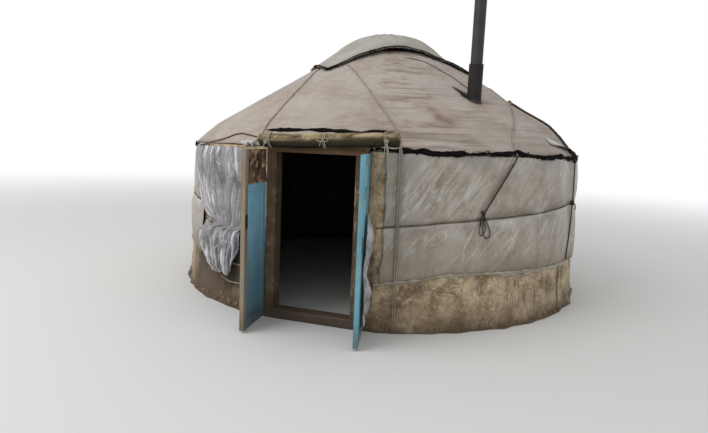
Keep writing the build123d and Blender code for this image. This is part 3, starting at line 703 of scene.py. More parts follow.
def clothMaterial(name, values):
    material, tree = plainMaterial(name)
    patchScale, fleckScale, fuzzScale = values["scales"]
    broad = placeGroup(tree, "mottle", scale=patchScale, low=0.4, high=0.66)[0]
    small = placeGroup(tree, "mottle", scale=fleckScale, low=0.48, high=0.7, detail=6.0)[0]
    colour = mixColour(tree, broad, values["base"], values["patch"])
    colour = mixColour(tree, small, colour, values["fleck"], values.get("fleckShare", 0.5))
    lines = []
    for number, (angle, stretch, width, tone, strength) in enumerate(values.get("lines", ())):
        lines.append(placeGroup(tree, "drawnLines", angle=-math.radians(angle), stretch=(*stretch, 1.0),
                                width=width, seed=3.7 * number, patches=values["linePatches"])[0])
        colour = mixColour(tree, lines[-1], colour, tone, strength)
    for field, tone, strength in values.get("fields", ()):
        mask = makeNode(tree, "ShaderNodeAttribute", attribute_name=field).outputs["Fac"]
        colour = mixColour(tree, mask, colour, tone, strength)
    colour = dirtiedAndShaded(tree, colour, values, values.get("dirtScale", 6.0))
    # Painted shade on the faces that look into the room
    if "inside" in values:
        colour = mixColour(tree, placeGroup(tree, "interiorShade")[0], colour, values["inside"], 0.92)
    height = placeGroup(tree, "mottle", scale=fuzzScale, low=0.25, high=0.75, detail=3.0)[0]
    if "weave" in values:
        height = maths(tree, "ADD", placeGroup(tree, "weave", scale=values["weave"])[0], height)
    for line in lines:
        height = maths(tree, "MULTIPLY_ADD", line, values["lineHeight"], height)
    rough = roughBy(tree, small, *values.get("rough", (0.85, 0.95)))
    finishMaterial(tree, colour, rough, height, values, values.get("specular", 0.3), values.get("sheen", 0.0))
    return material


def woodColour(tree, values):
    grain = placeGroup(tree, "grain", stretch=values["stretch"], contrast=values.get("contrast", 0.22))
    colour = mixColour(tree, grain["Mask"], values["base"], values["dark"])
    spots = placeGroup(tree, "mottle", scale=values.get("spotScale", 5.0), low=0.5, high=0.72, detail=5.0)[0]
    colour = mixColour(tree, spots, colour, values["spot"], values.get("spotShare", 0.6))
    if "paint" in values:
        faded = placeGroup(tree, "mottle", scale=3.0, low=0.35, high=0.7, detail=5.0)[0]
        coat = mixColour(tree, faded, values["paint"], values["paintFaded"])
        coat = mixColour(tree, grain["Mask"], coat, values["paintDirty"], 0.35)
        flakes = placeGroup(tree, "flaking", scale=values["flakeScale"], amount=values["flakeAmount"])[0]
        colour = mixColour(tree, flakes, coat, colour)
    return dirtiedAndShaded(tree, colour, values, 9.0), grain


def woodMaterial(name, values):
    material, tree = plainMaterial(name)
    colour, grain = woodColour(tree, values)
    rough = roughBy(tree, grain["Mask"], *values.get("rough", (0.62, 0.85)))
    finishMaterial(tree, colour, rough, grain["Height"], values, 0.35)
    return material


def beyond(tree, direction, distance, soft):
    # A mask of what lies beyond a plane in the frame's own coordinates
    along = vectorMaths(tree, "DOT_PRODUCT", ownPlace(tree), direction, "Value")
    return ramp(tree, along, distance - soft, distance + soft, kind="LINEAR")


def leafMaterial(name, values):
    # A leaf whose free stile is bare, painted up to the middle rail and stained above it
    material, tree = plainMaterial(name)
    painted, stained, bare = [woodColour(tree, woodLooks[key])[0]
                              for key in ("bluePaint", "stainedBoard", "bareStile")]
    colour = mixColour(tree, beyond(tree, (0, 0, 1), values["paintTop"], 0.012), painted, stained)
    turn = math.radians(values["openAngle"])
    direction = (math.cos(turn), -math.sin(turn), 0.0)
    start = direction[0] * values["hinge"][0] + direction[1] * values["hinge"][1]
    colour = mixColour(tree, beyond(tree, direction, start + values["stileFrom"], 0.004), colour, bare)
    grain = placeGroup(tree, "grain", stretch=woodLooks["bareStile"]["stretch"])
    finishMaterial(tree, colour, 0.7, grain["Height"], woodLooks["bareStile"])
    return material


def metalMaterial(name, values):
    material, tree = plainMaterial(name)
    low = values["rustLow"]
    rust = placeGroup(tree, "mottle", scale=values["rustScale"], low=low, high=low + 0.18, detail=8.0,
                      stretch=values.get("stretch", (1, 1, 1)))[0]
    darkening = placeGroup(tree, "mottle", scale=3.0, low=0.35, high=0.75)[0]
    colour = mixColour(tree, darkening, values["base"], values["dark"])
    colour = mixColour(tree, rust, colour, values["rust"], values.get("rustShare", 0.8))
    rough = roughBy(tree, rust, *values.get("rough", (0.45, 0.85)))
    shader = finishMaterial(tree, colour, rough, rust, values, values.get("specular", 0.5))
    tree.links.new(ramp(tree, rust, 0.0, 1.0, values["metallic"], 0.0, "LINEAR"), shader.inputs["Metallic"])
    return material


# The scales are those of patches, flecks and fuzz. A bump has strength and distance, a line has angle,
# stretch, width, tone and share, a field has tone and share, and dirtAndShade has low, high, wander, tone,
# share.
# Several lines and fields are painted light, shade in folds, creases and hollows and highlights on ridges,
# as noted at each look. dirtAndShade is dirt low down, and on the blue paint a painted shade.
clothLooks = {
    "weatheredCanvas": {
        "base": (0.39, 0.345, 0.306), "patch": (0.318, 0.272, 0.232), "fleck": (0.455, 0.415, 0.372),
        "scales": (1.6, 11, 220), "fleckShare": 0.45, "weave": 300, "bump": (0.35, 0.0015),
        "linePatches": 1.1, "lineHeight": -1.2,
        # The dark lines are painted shade in the thin wrinkles, the pale one a painted highlight beside them
        "lines": ((3, (1.6, 20), 0.022, (0.225, 0.185, 0.152), 0.34),
                  (-6, (1.3, 10), 0.012, (0.19, 0.15, 0.12), 0.4),
                  (8, (3, 34), 0.028, (0.26, 0.218, 0.182), 0.22),
                  (38, (1.1, 7), 0.008, (0.2, 0.165, 0.135), 0.32),
                  (2, (2.2, 26), 0.03, (0.47, 0.43, 0.39), 0.3)),
        # fold is painted shade along the wrinkles and darkens the lower edge; dark is painted shade in the
        # torn gap and a dark ring round the pipe's hole
        "fields": (("fold", (0.17, 0.135, 0.11), 0.8), ("stainAndShade", (0.2, 0.135, 0.1), 0.8),
                   ("rust", (0.2, 0.095, 0.06), 0.85), ("dark", (0.007, 0.006, 0.006), 1)),
    },
    "crownCanvas": {
        "base": (0.4, 0.385, 0.355), "patch": (0.32, 0.3, 0.255), "fleck": (0.43, 0.425, 0.4),
        "scales": (1.8, 10, 220), "fleckShare": 0.45, "weave": 300, "bump": (0.35, 0.0015),
        "linePatches": 1.5, "lineHeight": -1,
        "lines": ((20, (2, 12), 0.025, (0.24, 0.22, 0.18), 0.5),
                  (110, (2, 12), 0.02, (0.24, 0.22, 0.18), 0.4)),
        # fold is painted shade in folds; edge makes the cloth darker towards its border
        "fields": (("edge", (0.25, 0.225, 0.175), 0.7), ("fold", (0.26, 0.235, 0.19), 0.6)),
    },
    "blackFelt": {
        "base": (0.011, 0.009, 0.008), "patch": (0.006, 0.005, 0.005), "fleck": (0.026, 0.021, 0.018),
        "scales": (14, 60, 260), "bump": (0.9, 0.006), "specular": 0.05, "rough": (0.95, 1),
    },
    "coatedSheet": {
        "base": (0.365, 0.325, 0.272), "patch": (0.255, 0.215, 0.165), "fleck": (0.445, 0.41, 0.36),
        "scales": (2.6, 13, 90), "bump": (0.2, 0.002), "rough": (0.34, 0.55), "specular": 0.5,
        "linePatches": 2.1, "lineHeight": 1.4,
        # The dark lines are painted shade in the folds, the pale ones painted glints along them
        "lines": ((50, (1.2, 8), 0.06, (0.18, 0.15, 0.112), 0.42),
                  (56, (1.1, 8), 0.03, (0.6, 0.58, 0.54), 0.5),
                  (46, (1.5, 17), 0.026, (0.57, 0.55, 0.51), 0.36),
                  (84, (1.6, 16), 0.024, (0.57, 0.55, 0.51), 0.3),
                  (20, (2.2, 13), 0.012, (0.52, 0.5, 0.46), 0.36),
                  (88, (2.4, 11), 0.018, (0.15, 0.122, 0.09), 0.4)),
        # crease paints highlights on the ridges and hollowShade paints shade in the hollows, as lit, shade
        # and blueShade do
        "fields": (("lit", (0.52, 0.505, 0.475), 0.75), ("shade", (0.155, 0.128, 0.094), 0.7),
                   ("crease", (0.56, 0.545, 0.52), 0.3), ("hollowShade", (0.17, 0.142, 0.108), 0.6),
                   ("blueShade", (0.2, 0.215, 0.235), 0.7), ("pale", (0.6, 0.59, 0.565), 0.8),
                   ("dark", (0.05, 0.038, 0.028), 0.9)),
        "dirtAndShade": ((0.46, 0.95, 0.5, (0.215, 0.172, 0.122), 0.6),),
    },
    "thinCurtain": {
        "base": (0.235, 0.228, 0.236), "patch": (0.165, 0.155, 0.158), "fleck": (0.38, 0.37, 0.385),
        "scales": (4, 16, 120), "bump": (0.2, 0.002), "rough": (0.35, 0.55), "specular": 0.5,
        "linePatches": 2.6, "lineHeight": 1.2,
        # The dark line paints shade in the pleats' valleys, the pale ones highlights on their crests; so do
        # hollowShade and crease
        "lines": ((88, (1.5, 38), 0.045, (0.085, 0.076, 0.076), 0.7),
                  (92, (2, 46), 0.032, (0.72, 0.71, 0.74), 0.7),
                  (35, (7, 22), 0.02, (0.66, 0.65, 0.68), 0.45)),
        "fields": (("crease", (0.74, 0.73, 0.76), 0.85), ("hollowShade", (0.065, 0.058, 0.055), 0.85)),
    },
    "tornFilm": {
        "base": (0.4, 0.4, 0.41), "patch": (0.26, 0.26, 0.27), "fleck": (0.55, 0.55, 0.56),
        "scales": (9, 28, 120), "bump": (0.2, 0.002), "rough": (0.35, 0.55), "specular": 0.5,
        # crease paints highlights on the ridges, hollowShade paints shade in the hollows
        "fields": (("crease", (0.58, 0.58, 0.59), 0.6), ("hollowShade", (0.1, 0.095, 0.095), 0.7)),
    },
    "tanFelt": {
        "base": (0.585, 0.462, 0.295), "patch": (0.235, 0.158, 0.085), "fleck": (0.74, 0.63, 0.455),
        "scales": (4.2, 17, 130), "fleckShare": 0.7, "bump": (0.8, 0.004), "sheen": 0.1, "rough": (0.9, 1),
        # inside: painted shade on the faces that look into the room
        "inside": (0.04, 0.03, 0.022), "linePatches": 2.8, "lineHeight": -1.2, "dirtScale": 4.5,
        "lines": ((90, (3, 15), 0.02, (0.085, 0.056, 0.032), 0.6),
                  (4, (4, 16), 0.018, (0.085, 0.055, 0.031), 0.6),
                  (30, (12, 14), 0.02, (0.065, 0.041, 0.023), 0.55),
                  (70, (19, 24), 0.026, (0.62, 0.53, 0.41), 0.4)),
        # stainAndShade: stains, and painted shade on the felt left of the door
        "fields": (("seam", (0.055, 0.038, 0.024), 0.85), ("stainAndShade", (0.03, 0.017, 0.008), 0.94)),
        "dirtAndShade": ((-0.02, 0.19, 0.42, (0.05, 0.033, 0.02), 0.85),
                 (0.02, 0.5, 1, (0.15, 0.098, 0.055), 0.55)),
    },
    "darkFelt": {
        "base": (0.058, 0.046, 0.035), "patch": (0.04, 0.031, 0.023), "fleck": (0.085, 0.07, 0.055),
        "scales": (4, 20, 130), "bump": (0.8, 0.004), "rough": (0.9, 1),
    },
    "rolledFelt": {
        "base": (0.4, 0.32, 0.185), "patch": (0.175, 0.125, 0.062), "fleck": (0.66, 0.56, 0.36),
        "scales": (6, 24, 150), "fleckShare": 0.6, "bump": (0.7, 0.003), "rough": (0.88, 0.98),
        "linePatches": 3, "lineHeight": -1.2,
        "lines": ((90, (12, 3), 0.03, (0.095, 0.065, 0.036), 0.6),
                  (30, (14, 14), 0.026, (0.1, 0.07, 0.04), 0.5)),
        # Painted shade: under darkens the roll's lower side and its left end, crease its creases and the line
        # under the free edge
        "fields": (("under", (0.02, 0.014, 0.007), 0.94), ("crease", (0.034, 0.023, 0.012), 0.95)),
    },
    "paleRope": {
        "base": (0.37, 0.32, 0.255), "patch": (0.265, 0.218, 0.165), "fleck": (0.47, 0.43, 0.36),
        "scales": (8, 60, 300), "bump": (0.6, 0.002),
    },
    "creamBand": {
        "base": (0.385, 0.345, 0.28), "patch": (0.285, 0.242, 0.18), "fleck": (0.48, 0.445, 0.38),
        "scales": (7, 40, 240), "bump": (0.7, 0.003),
    },
    "darkRope": {
        "base": (0.048, 0.034, 0.026), "patch": (0.03, 0.021, 0.016), "fleck": (0.11, 0.08, 0.058),
        "scales": (9, 70, 300), "bump": (0.7, 0.002),
    },
    "brownCord": {
        "base": (0.135, 0.098, 0.066), "patch": (0.09, 0.062, 0.04), "fleck": (0.21, 0.165, 0.12),
        "scales": (9, 60, 300), "bump": (0.7, 0.002),
    },
    "redWeave": {
        "base": (0.095, 0.032, 0.022), "patch": (0.055, 0.025, 0.02), "fleck": (0.25, 0.2, 0.15),
        "scales": (16, 50, 300), "fleckShare": 0.35, "bump": (0.6, 0.002),
    },
}
looks = {name: clothMaterial(name, values) for name, values in clothLooks.items()}

woodLooks = {
    "redPole": {
        "base": (0.165, 0.08, 0.045), "dark": (0.09, 0.04, 0.024), "spot": (0.22, 0.125, 0.075),
        "stretch": (7, 7, 7), "bump": (0.3, 0.002),
    },
    "redLath": {
        "base": (0.15, 0.082, 0.048), "dark": (0.088, 0.045, 0.027), "spot": (0.215, 0.135, 0.085),
        "stretch": (14, 14, 9), "bump": (0.3, 0.002),
    },
    "crownWood": {
        "base": (0.15, 0.066, 0.038), "dark": (0.08, 0.034, 0.021), "spot": (0.205, 0.105, 0.062),
        "stretch": (9, 9, 20), "bump": (0.3, 0.002),
    },
    "postWood": {
        "base": (0.15, 0.1, 0.06), "dark": (0.06, 0.036, 0.021), "spot": (0.285, 0.205, 0.14),
        "stretch": (34, 34, 1.6), "bump": (0.45, 0.002),
        "dirtAndShade": ((0, 0.35, 0.4, (0.06, 0.042, 0.028), 0.75),),
    },
    "lintelWood": {
        "base": (0.215, 0.112, 0.06), "dark": (0.085, 0.042, 0.023), "spot": (0.31, 0.23, 0.16),
        "stretch": (1.6, 34, 34), "bump": (0.45, 0.002),
    },
    "sillWood": {
        "base": (0.12, 0.085, 0.058), "dark": (0.06, 0.04, 0.027), "spot": (0.165, 0.125, 0.09),
        "stretch": (1.6, 34, 34), "bump": (0.5, 0.003),
        "dirtAndShade": ((0, 0.12, 0.1, (0.05, 0.035, 0.024), 0.8),),
    },
    "bareStile": {
        "base": (0.305, 0.228, 0.155), "dark": (0.19, 0.128, 0.08), "spot": (0.235, 0.195, 0.15),
        "stretch": (30, 30, 1.4), "bump": (0.5, 0.002), "paint": (0.3, 0.24, 0.175),
        "paintFaded": (0.255, 0.215, 0.165), "paintDirty": (0.165, 0.12, 0.085), "flakeScale": 5,
        "flakeAmount": 0.25,
        "dirtAndShade": ((0, 0.3, 0.3, (0.085, 0.062, 0.042), 0.7),),
    },
    "bluePaint": {
        "base": (0.205, 0.155, 0.11), "dark": (0.13, 0.092, 0.062), "spot": (0.28, 0.235, 0.19),
        "stretch": (30, 30, 1.2), "bump": (0.4, 0.0015), "paint": (0.25, 0.53, 0.66),
        "paintFaded": (0.38, 0.67, 0.79), "paintDirty": (0.085, 0.19, 0.24), "flakeScale": 7,
        "flakeAmount": 0.13, "rough": (0.45, 0.75),
        # Painted shade: the first entry makes the blue paint darker towards the bottom
        "dirtAndShade": ((0.25, 1.45, 0.45, (0.045, 0.115, 0.15), 0.8), (0, 0.28, 0.35, (0.085, 0.075, 0.06), 0.7)),
    },
    "blueStile": {
        "base": (0.34, 0.33, 0.31), "dark": (0.19, 0.17, 0.145), "spot": (0.46, 0.45, 0.43),
        "stretch": (30, 30, 1.2), "bump": (0.45, 0.002), "paint": (0.11, 0.335, 0.42),
        "paintFaded": (0.195, 0.43, 0.51), "paintDirty": (0.07, 0.14, 0.165), "flakeScale": 8,
        "flakeAmount": 0.23, "rough": (0.5, 0.8),
        "dirtAndShade": ((0, 0.28, 0.35, (0.085, 0.075, 0.06), 0.7),),
    },
    "stainedBoard": {
        "base": (0.23, 0.13, 0.07), "dark": (0.032, 0.018, 0.012), "spot": (0.68, 0.49, 0.31),
        "stretch": (15, 15, 5), "contrast": 0.1, "spotScale": 13, "spotShare": 0.95, "bump": (0.4, 0.002),
    },
    "wornPost": {
        "base": (0.13, 0.078, 0.044), "dark": (0.045, 0.027, 0.016), "spot": (0.2, 0.135, 0.085),
        "stretch": (34, 34, 1.6), "bump": (0.45, 0.002), "paint": (0.31, 0.235, 0.14),
        "paintFaded": (0.24, 0.172, 0.098), "paintDirty": (0.15, 0.098, 0.052), "flakeScale": 5,
        "flakeAmount": 0.37,
        "dirtAndShade": ((0, 0.35, 0.4, (0.06, 0.042, 0.028), 0.75),),
    },
}
# The left leaf faces more light in the picture
woodLooks["sunlitBlue"] = dict(woodLooks["bluePaint"], paint=(0.3, 0.63, 0.84),
                               paintFaded=(0.44, 0.76, 0.93))
looks.update({name: woodMaterial(name, values) for name, values in woodLooks.items()})
leftLeaf = {"hinge": (-0.502, -2.4718), "openAngle": 84.0, "stileFrom": 0.432, "paintTop": 1.352}
looks["leftLeafFrame"] = leafMaterial("leftLeafFrame", leftLeaf)

metalLooks = {
    "sootySteel": {
        "base": (0.022, 0.02, 0.02), "dark": (0.008, 0.007, 0.007), "rust": (0.045, 0.028, 0.019),
        "rustScale": 5, "rustLow": 0.52, "stretch": (1, 1, 0.35), "rustShare": 0.6, "metallic": 0,
        "rough": (0.62, 0.9), "specular": 0.22, "bump": (0.25, 0.001),
    },
    "paleSteel": {
        "base": (0.04, 0.041, 0.044), "dark": (0.018, 0.018, 0.019), "rust": (0.06, 0.05, 0.044),
        "rustScale": 5, "rustLow": 0.52, "stretch": (1, 1, 0.35), "rustShare": 0.4, "metallic": 0,
        "rough": (0.55, 0.8), "specular": 0.3, "bump": (0.25, 0.001),
    },
    "wroughtSteel": {
        "base": (0.085, 0.07, 0.06), "dark": (0.04, 0.032, 0.028), "rust": (0.14, 0.07, 0.038),
        "rustScale": 30, "rustLow": 0.46, "metallic": 0.7, "bump": (0.4, 0.0008),
    },
}
looks.update({name: metalMaterial(name, values) for name, values in metalLooks.items()})
print("materials made:", len(looks))


def finishPiece(piece, slot, *replaced, body="tent"):
    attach(piece, body)
    if replaced:
        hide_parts(*replaced)


def steps(*spans):
    rows = [np.arange(low, high, step) for low, high, step in spans]
    return np.concatenate(rows + [[spans[-1][1]]])


def skinPoint(azimuth, height, out):
    # A place over roof and wall alike, where ropes run from one to the other
    azimuth, height = np.asarray(azimuth, float), np.asarray(height, float)
    onRoof = roofPoint(azimuth, roofPlace(np.maximum(height, skin["eaveHeight"])), out)
    edge, foot = skin["eave"] + ropes["liftAtEave"], skin["wallFoot"] + ropes["liftAtFoot"]
    radius = edge + (foot - edge) * (1 - height / skin["eaveHeight"])
    onWall = polar(radius * scallop(azimuth) + out, azimuth, height)
    share = smoothStep(height, skin["eaveHeight"] - 0.02, skin["eaveHeight"] + 0.06)[..., None]
    return onWall * (1 - share) + onRoof * share


def blotches(azimuth, place, marks, radius, share=1.0):
    # Marks by azimuth, place, half widths across and along, and strength
    total = np.zeros(np.broadcast(azimuth, place).shape)
    for middle, at, across, along, strength in marks:
        aside = np.radians(wrapped(azimuth - middle)) * radius
        total = np.maximum(total, strength * bump(aside, 0, across) * bump(place, at, along) * share)
    return total


def wallBlotches(azimuth, height, marks):
    wander = np.clip(0.6 + 0.6 * roundNoise(azimuth, height * 9, 90, 87), 0, 1)
    return blotches(azimuth, height, marks, skin["wallMiddle"], wander)


# Roof canvas

roofCanvas = {
    "thickness": 0.003,
    "doorEdge": (11.8, 12.9),  # where its edge drops from above the door to the eave
    "doorHeight": 1.778,
    "ragged": 0.01,
    "fine": (-62, 100),
    "fineStep": 0.75,
    "coarseStep": 2.0,
    "rows": 116,
    "pipe": (1.268, -1.042, 0.082, 0.022),  # its place, the hole's radius and the collar's width
    # Azimuth, radius, half widths and strength of what marks the cloth
    "stainsAndShade": ((31.5, 2.03, 0.13, 0.15, 1.3), (28.5, 1.85, 0.1, 0.13, 0.9), (27.0, 2.13, 0.14, 0.05, 0.9),
               (47.0, 1.88, 0.1, 0.1, 0.25), (12.0, 2.1, 0.1, 0.06, 0.25), (-30.0, 1.9, 0.2, 0.2, 0.2)),
    "rust": ((55.5, 1.69, 0.055, 0.035, 0.9), (20.5, 2.1, 0.04, 0.03, 0.6)),
    # The torn gap beside the pipe, not cut but painted near black as painted shade: its two ends in plan, and
    # its half widths there
    "gap": ((1.012, -0.972), (1.205, -1.052), 0.01, 0.078),
    "gapEdge": 0.006,
    "flatSide": 1.35,  # its flat side as a share of its width at the eave
    "slope": 0.8,  # its plan as a share of its slant
}

roofFelts = {"count": 4, "columns": 46, "rows": 40, "under": -0.0045, "thickness": 0.01}


def roofGrid(values, azimuths, rows, out):
    eave, door = roofPlace(skin["eaveHeight"]), roofPlace(values["doorHeight"])
    lowEnd = door + (eave - door) * smoothStep(np.abs(wrapped(azimuths)), *values["doorEdge"])
    lowEnd = lowEnd + values["ragged"] * roundNoise(azimuths, 0 * azimuths, 60, 51, 2)
    lowEnd = np.minimum(lowEnd, roofLength - 0.002)
    q = np.linspace(1.0, 0.0, rows)[None, :] * lowEnd[:, None]
    a = np.repeat(azimuths[:, None], rows, 1)
    return a, q, roofPoint(a, q, out)


def makeRoofCanvas(values):
    (first, last), coarse = values["fine"], values["coarseStep"]
    azimuths = steps((-180, first, coarse), (first, last, values["fineStep"]), (last, 180, coarse))[:-1]
    a, q, points = roofGrid(values, azimuths, values["rows"], 0.0)
    radius = np.interp(q, roofQ, roofR)
    stainAndShade = blotches(a, radius, values["stainsAndShade"], radius) * (0.75 + 0.5 * roundNoise(a, q * 14, 120, 61))
    rust = blotches(a, radius, values["rust"], radius)
    # Painted shade along the thin wrinkles, and darker towards the lower edge
    fold = np.clip(0.95 * drawnLines(a, q) + 0.55 * bump(roofLength - q, 0.0, 0.04), 0, 1)
    (x0, y0), (x1, y1), thin, wide = values["gap"]
    run = math.hypot(x1 - x0, y1 - y0)
    along = ((points[..., 0] - x0) * (x1 - x0) + (points[..., 1] - y0) * (y1 - y0)) / run**2
    across = np.abs((points[..., 1] - y0) * (x1 - x0) - (points[..., 0] - x0) * (y1 - y0)) / run
    half = thin + (wide - thin) * along
    slit = smoothStep(half - across, -values["gapEdge"], values["gapEdge"]) * (along > 0) * (along < 1.02)
    # The cloth is pushed clear of the pipe
    x, y, pipeRadius, collarWidth = values["pipe"]
    aside = points[..., :2] - [x, y]
    away = np.hypot(aside[..., 0], aside[..., 1])
    push = np.where(away < pipeRadius, pipeRadius - away, 0.0)
    points[..., :2] += aside / np.maximum(away, 1e-6)[..., None] * push[..., None]
    collar = 1 - smoothStep(away, pipeRadius, pipeRadius + collarWidth)
    # dark: painted shade in the torn gap, and a dark ring round the pipe's hole
    fields = {"stainAndShade": stainAndShade, "rust": np.maximum(rust, 0.35 * bump(away, 0.1, 0.05)), "fold": fold,
              "dark": np.maximum(slit, 0.9 * collar)}
    piece = clothPiece("roofCanvas", points, "weatheredCanvas", values["thickness"], fields, closeU=True)
    finishPiece(piece, "roof_canvas", "roof_canvas")


def makeRoofFelts(values):
    for i in range(values["count"]):
        start = (i - 0.5) * 360.0 / values["count"]
        azimuths = np.linspace(start, start + 360.0 / values["count"], values["columns"])
        points = roofGrid(roofCanvas, azimuths, values["rows"], values["under"])[2]
        piece = clothPiece(f"roofFelt{i + 1}", points, "darkFelt", values["thickness"])
        finishPiece(piece, "roof_felt", f"roof_felt_{i + 1}")


makeRoofFelts(roofFelts)
makeRoofCanvas(roofCanvas)
print("roof canvas and felts made")


# Crown cover: a square cloth over the crown, with a black felt edge

crownCover = {
    "half": 1.0,
    "turn": 28.0,
    "shift": (-0.06, 0.27),
    "insets": (0.035, 0.1, 0.1, -0.06),  # front, right, back, left
    "rounding": 0.045,
    "pull": (92.0, 48.0, 0.46, 1.22),  # azimuth, half angle, and the radii that it is straight between
    "domeAngles": (90, 79, 68, 57, 46, 35, 25),
    "clear": 0.011,
    "onRoof": (1.03, 2.5),  # the radii where it follows the roof
    "ripple": 0.012,
    "wrinkle": 0.004,
    "flat": (2.02, 2.02),
    "area": 3.75,
    "thickness": 0.006,
    "foot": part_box("crown_braces")[0].z,
    "rise": 0.256,
    "ring": 0.612,
    "lift": 0.013,
    "braceSpacing": 0.095,
    "ribHeight": 0.007,
    "ribWidth": 0.022,
    "ringEdge": (0.006, 0.62, 0.05),
    "edgeWidth": 0.05,
    "edgeThickness": 0.013,
    "edgeAt": 0.985,
    "edgeCount": 90,
    "count": 110,
}


def coverHeight(x, y):
    values = crownCover
    radius, azimuth = np.hypot(x, y), np.degrees(np.arctan2(x, -y))
    angles, onRoof = np.radians(values["domeAngles"]), np.array(values["onRoof"])
    ringOut, rise = values["ring"] + values["clear"], values["rise"] + values["clear"]
    slope = (skin["roofTop"] - skin["highBend"][1]) / (skin["highBend"][0] - skin["topRadius"])
    lineR = np.concatenate([ringOut * np.cos(angles), onRoof])
    lineZ = np.concatenate([values["foot"] + rise * np.sin(angles),
                            skin["roofTop"] - slope * (onRoof - skin["topRadius"])])
    dense = np.arange(0, 2.4, 0.01)
    smooth = smoothed(np.interp(dense, lineR, lineZ), 5.0, mirrored=True)
    height = np.interp(radius, dense, smooth)
    # Pulled straight from the ring to the roof on the right
    middle, halfAngle, near, far = values["pull"]
    share = np.clip((radius - near) / (far - near), 0, 1)
    straight = np.interp(near, dense, smooth) * (1 - share) + np.interp(far, dense, smooth) * share
    taut = 1 - smoothStep(np.abs(wrapped(azimuth - middle)), halfAngle * 0.45, halfAngle)
    height = height + taut * np.maximum(straight - height, 0) * (share > 0) * (share < 1)
    place = np.interp(np.maximum(radius, skin["topRadius"]), roofR, roofQ)
    lying = smoothStep(radius, 0.75, 1.0) * roofOut(azimuth, place) / 0.85
    ribs = [bump(across, k * values["braceSpacing"], values["ribWidth"])
            for across in (x, y) for k in (-1, 0, 1)]
    rib = np.max(ribs, axis=0) * values["ribHeight"] * (1 - smoothStep(radius, 0.52, 0.66))
    edgeHeight, edgeRadius, edgeWidth = values["ringEdge"]
    return height + lying + rib + edgeHeight * bump(radius, edgeRadius, edgeWidth)


def coverPoint(u, v, out=0.0):
    values = crownCover
    half = values["half"]
    front, right, back, left = values["insets"]
    insetX = np.where(u > 0, right, left) * (1 - v**2)
    insetY = np.where(v > 0, back, front) * (1 - u**2)
    corner = 1 - values["rounding"] * (u * v) ** 6
    x0, y0 = u * (half - insetX) * corner, v * (half - insetY) * corner
    turn = math.radians(values["turn"])
    x = values["shift"][0] + x0 * math.cos(turn) - y0 * math.sin(turn)
    y = values["shift"][1] + x0 * math.sin(turn) + y0 * math.cos(turn)
    edge = smoothStep(np.maximum(np.abs(u), np.abs(v)), 0.6, 1.0)
    ripple = values["ripple"] * (0.5 + 0.5 * softNoise(u * 5 + 7, v * 5 + 3, 71)) * edge
    wrinkle = values["wrinkle"] * np.abs(softNoise(u * 9 + v * 4 + 20, v * 3 + 9, 73))
    return np.stack([x, y, coverHeight(x, y) + values["lift"] + ripple + wrinkle + out], -1)


def makeCrownCover(values):
    side = np.linspace(-1, 1, values["count"])
    u, v = np.meshgrid(side, side, indexing="ij")
    edge = smoothStep(np.maximum(np.abs(u), np.abs(v)), 0.82, 0.98) * 0.8
    # Painted shade in folds over the cloth
    fold = np.clip(np.abs(softNoise(u * 7 + v * 3 + 20, v * 4 + 9, 75)) - 0.25, 0, 1)
    piece = clothPiece("crownCover", coverPoint(u, v), "crownCanvas", values["thickness"],
                       {"edge": edge, "fold": fold})
    finishPiece(piece, "crown_cloth", "crown_cover")
    t = np.linspace(-1, 1, values["edgeCount"])
    low, high = 0 * t - values["edgeAt"], 0 * t + values["edgeAt"]
    size = 1 + 0.3 * softNoise(t * 14 + 11, 0 * t, 83) + 0.7 * bump(np.abs(t), 1.0, 0.1)
    around = []
    for u, v in ((t, low), (high, t), (-t, high), (low, -t)):
        path = coverPoint(u, v, 0.004)
        path[:, 2] += 0.004 * softNoise(t * 9 + 30, 0 * t, 81)
        around.append(dict(path=path, ups=np.tile([0, 0, 1.0], (len(t), 1)), sizes=size,
                           section=ovalSection(values["edgeWidth"], values["edgeThickness"])))
    hem = sweepPiece("crownCoverEdge", around, "blackFelt")
    finishPiece(hem, "felt_hem")


makeCrownCover(crownCover)
print("crown cover made")


# Wall felts

wallFelts = {
    "count": 6,
    "thickness": 0.011,
    "doorSide": 0.5035,
    "columns": 88,
    "rows": 68,
    "top": 1.689,
    "facet": 0.9953,  # the wall's radius at the doorway as a share of the round one
    "seam": 0.012,
    # Azimuth, height, half widths and strength
    "stainsAndShade": ((24, 0.42, 0.1, 0.1, 0.6), (38, 0.36, 0.05, 0.14, 0.5), (52, 0.33, 0.06, 0.12, 0.45),
               (62, 0.4, 0.09, 0.06, 0.4), (71, 0.3, 0.04, 0.16, 0.5), (16, 0.55, 0.05, 0.3, 0.35),
               # The next three, left of the door, are stains darkened further as painted shade
               (-17, 0.4, 0.2, 0.6, 1.8), (-24, 0.25, 0.3, 0.36, 1.7), (-33, 0.3, 0.2, 0.2, 0.8),
               (45, 0.2, 0.2, 0.05, 0.4), (13, 0.15, 0.06, 0.2, 0.5), (19, 0.2, 0.1, 0.12, 0.5),
               (30, 0.12, 0.12, 0.07, 0.5), (58, 0.14, 0.15, 0.05, 0.4), (13.4, 0.6, 0.036, 0.75, 1.1),
               (55.5, 0.25, 0.012, 0.16, 0.9), (36.5, 0.3, 0.008, 0.12, 0.7)),
}


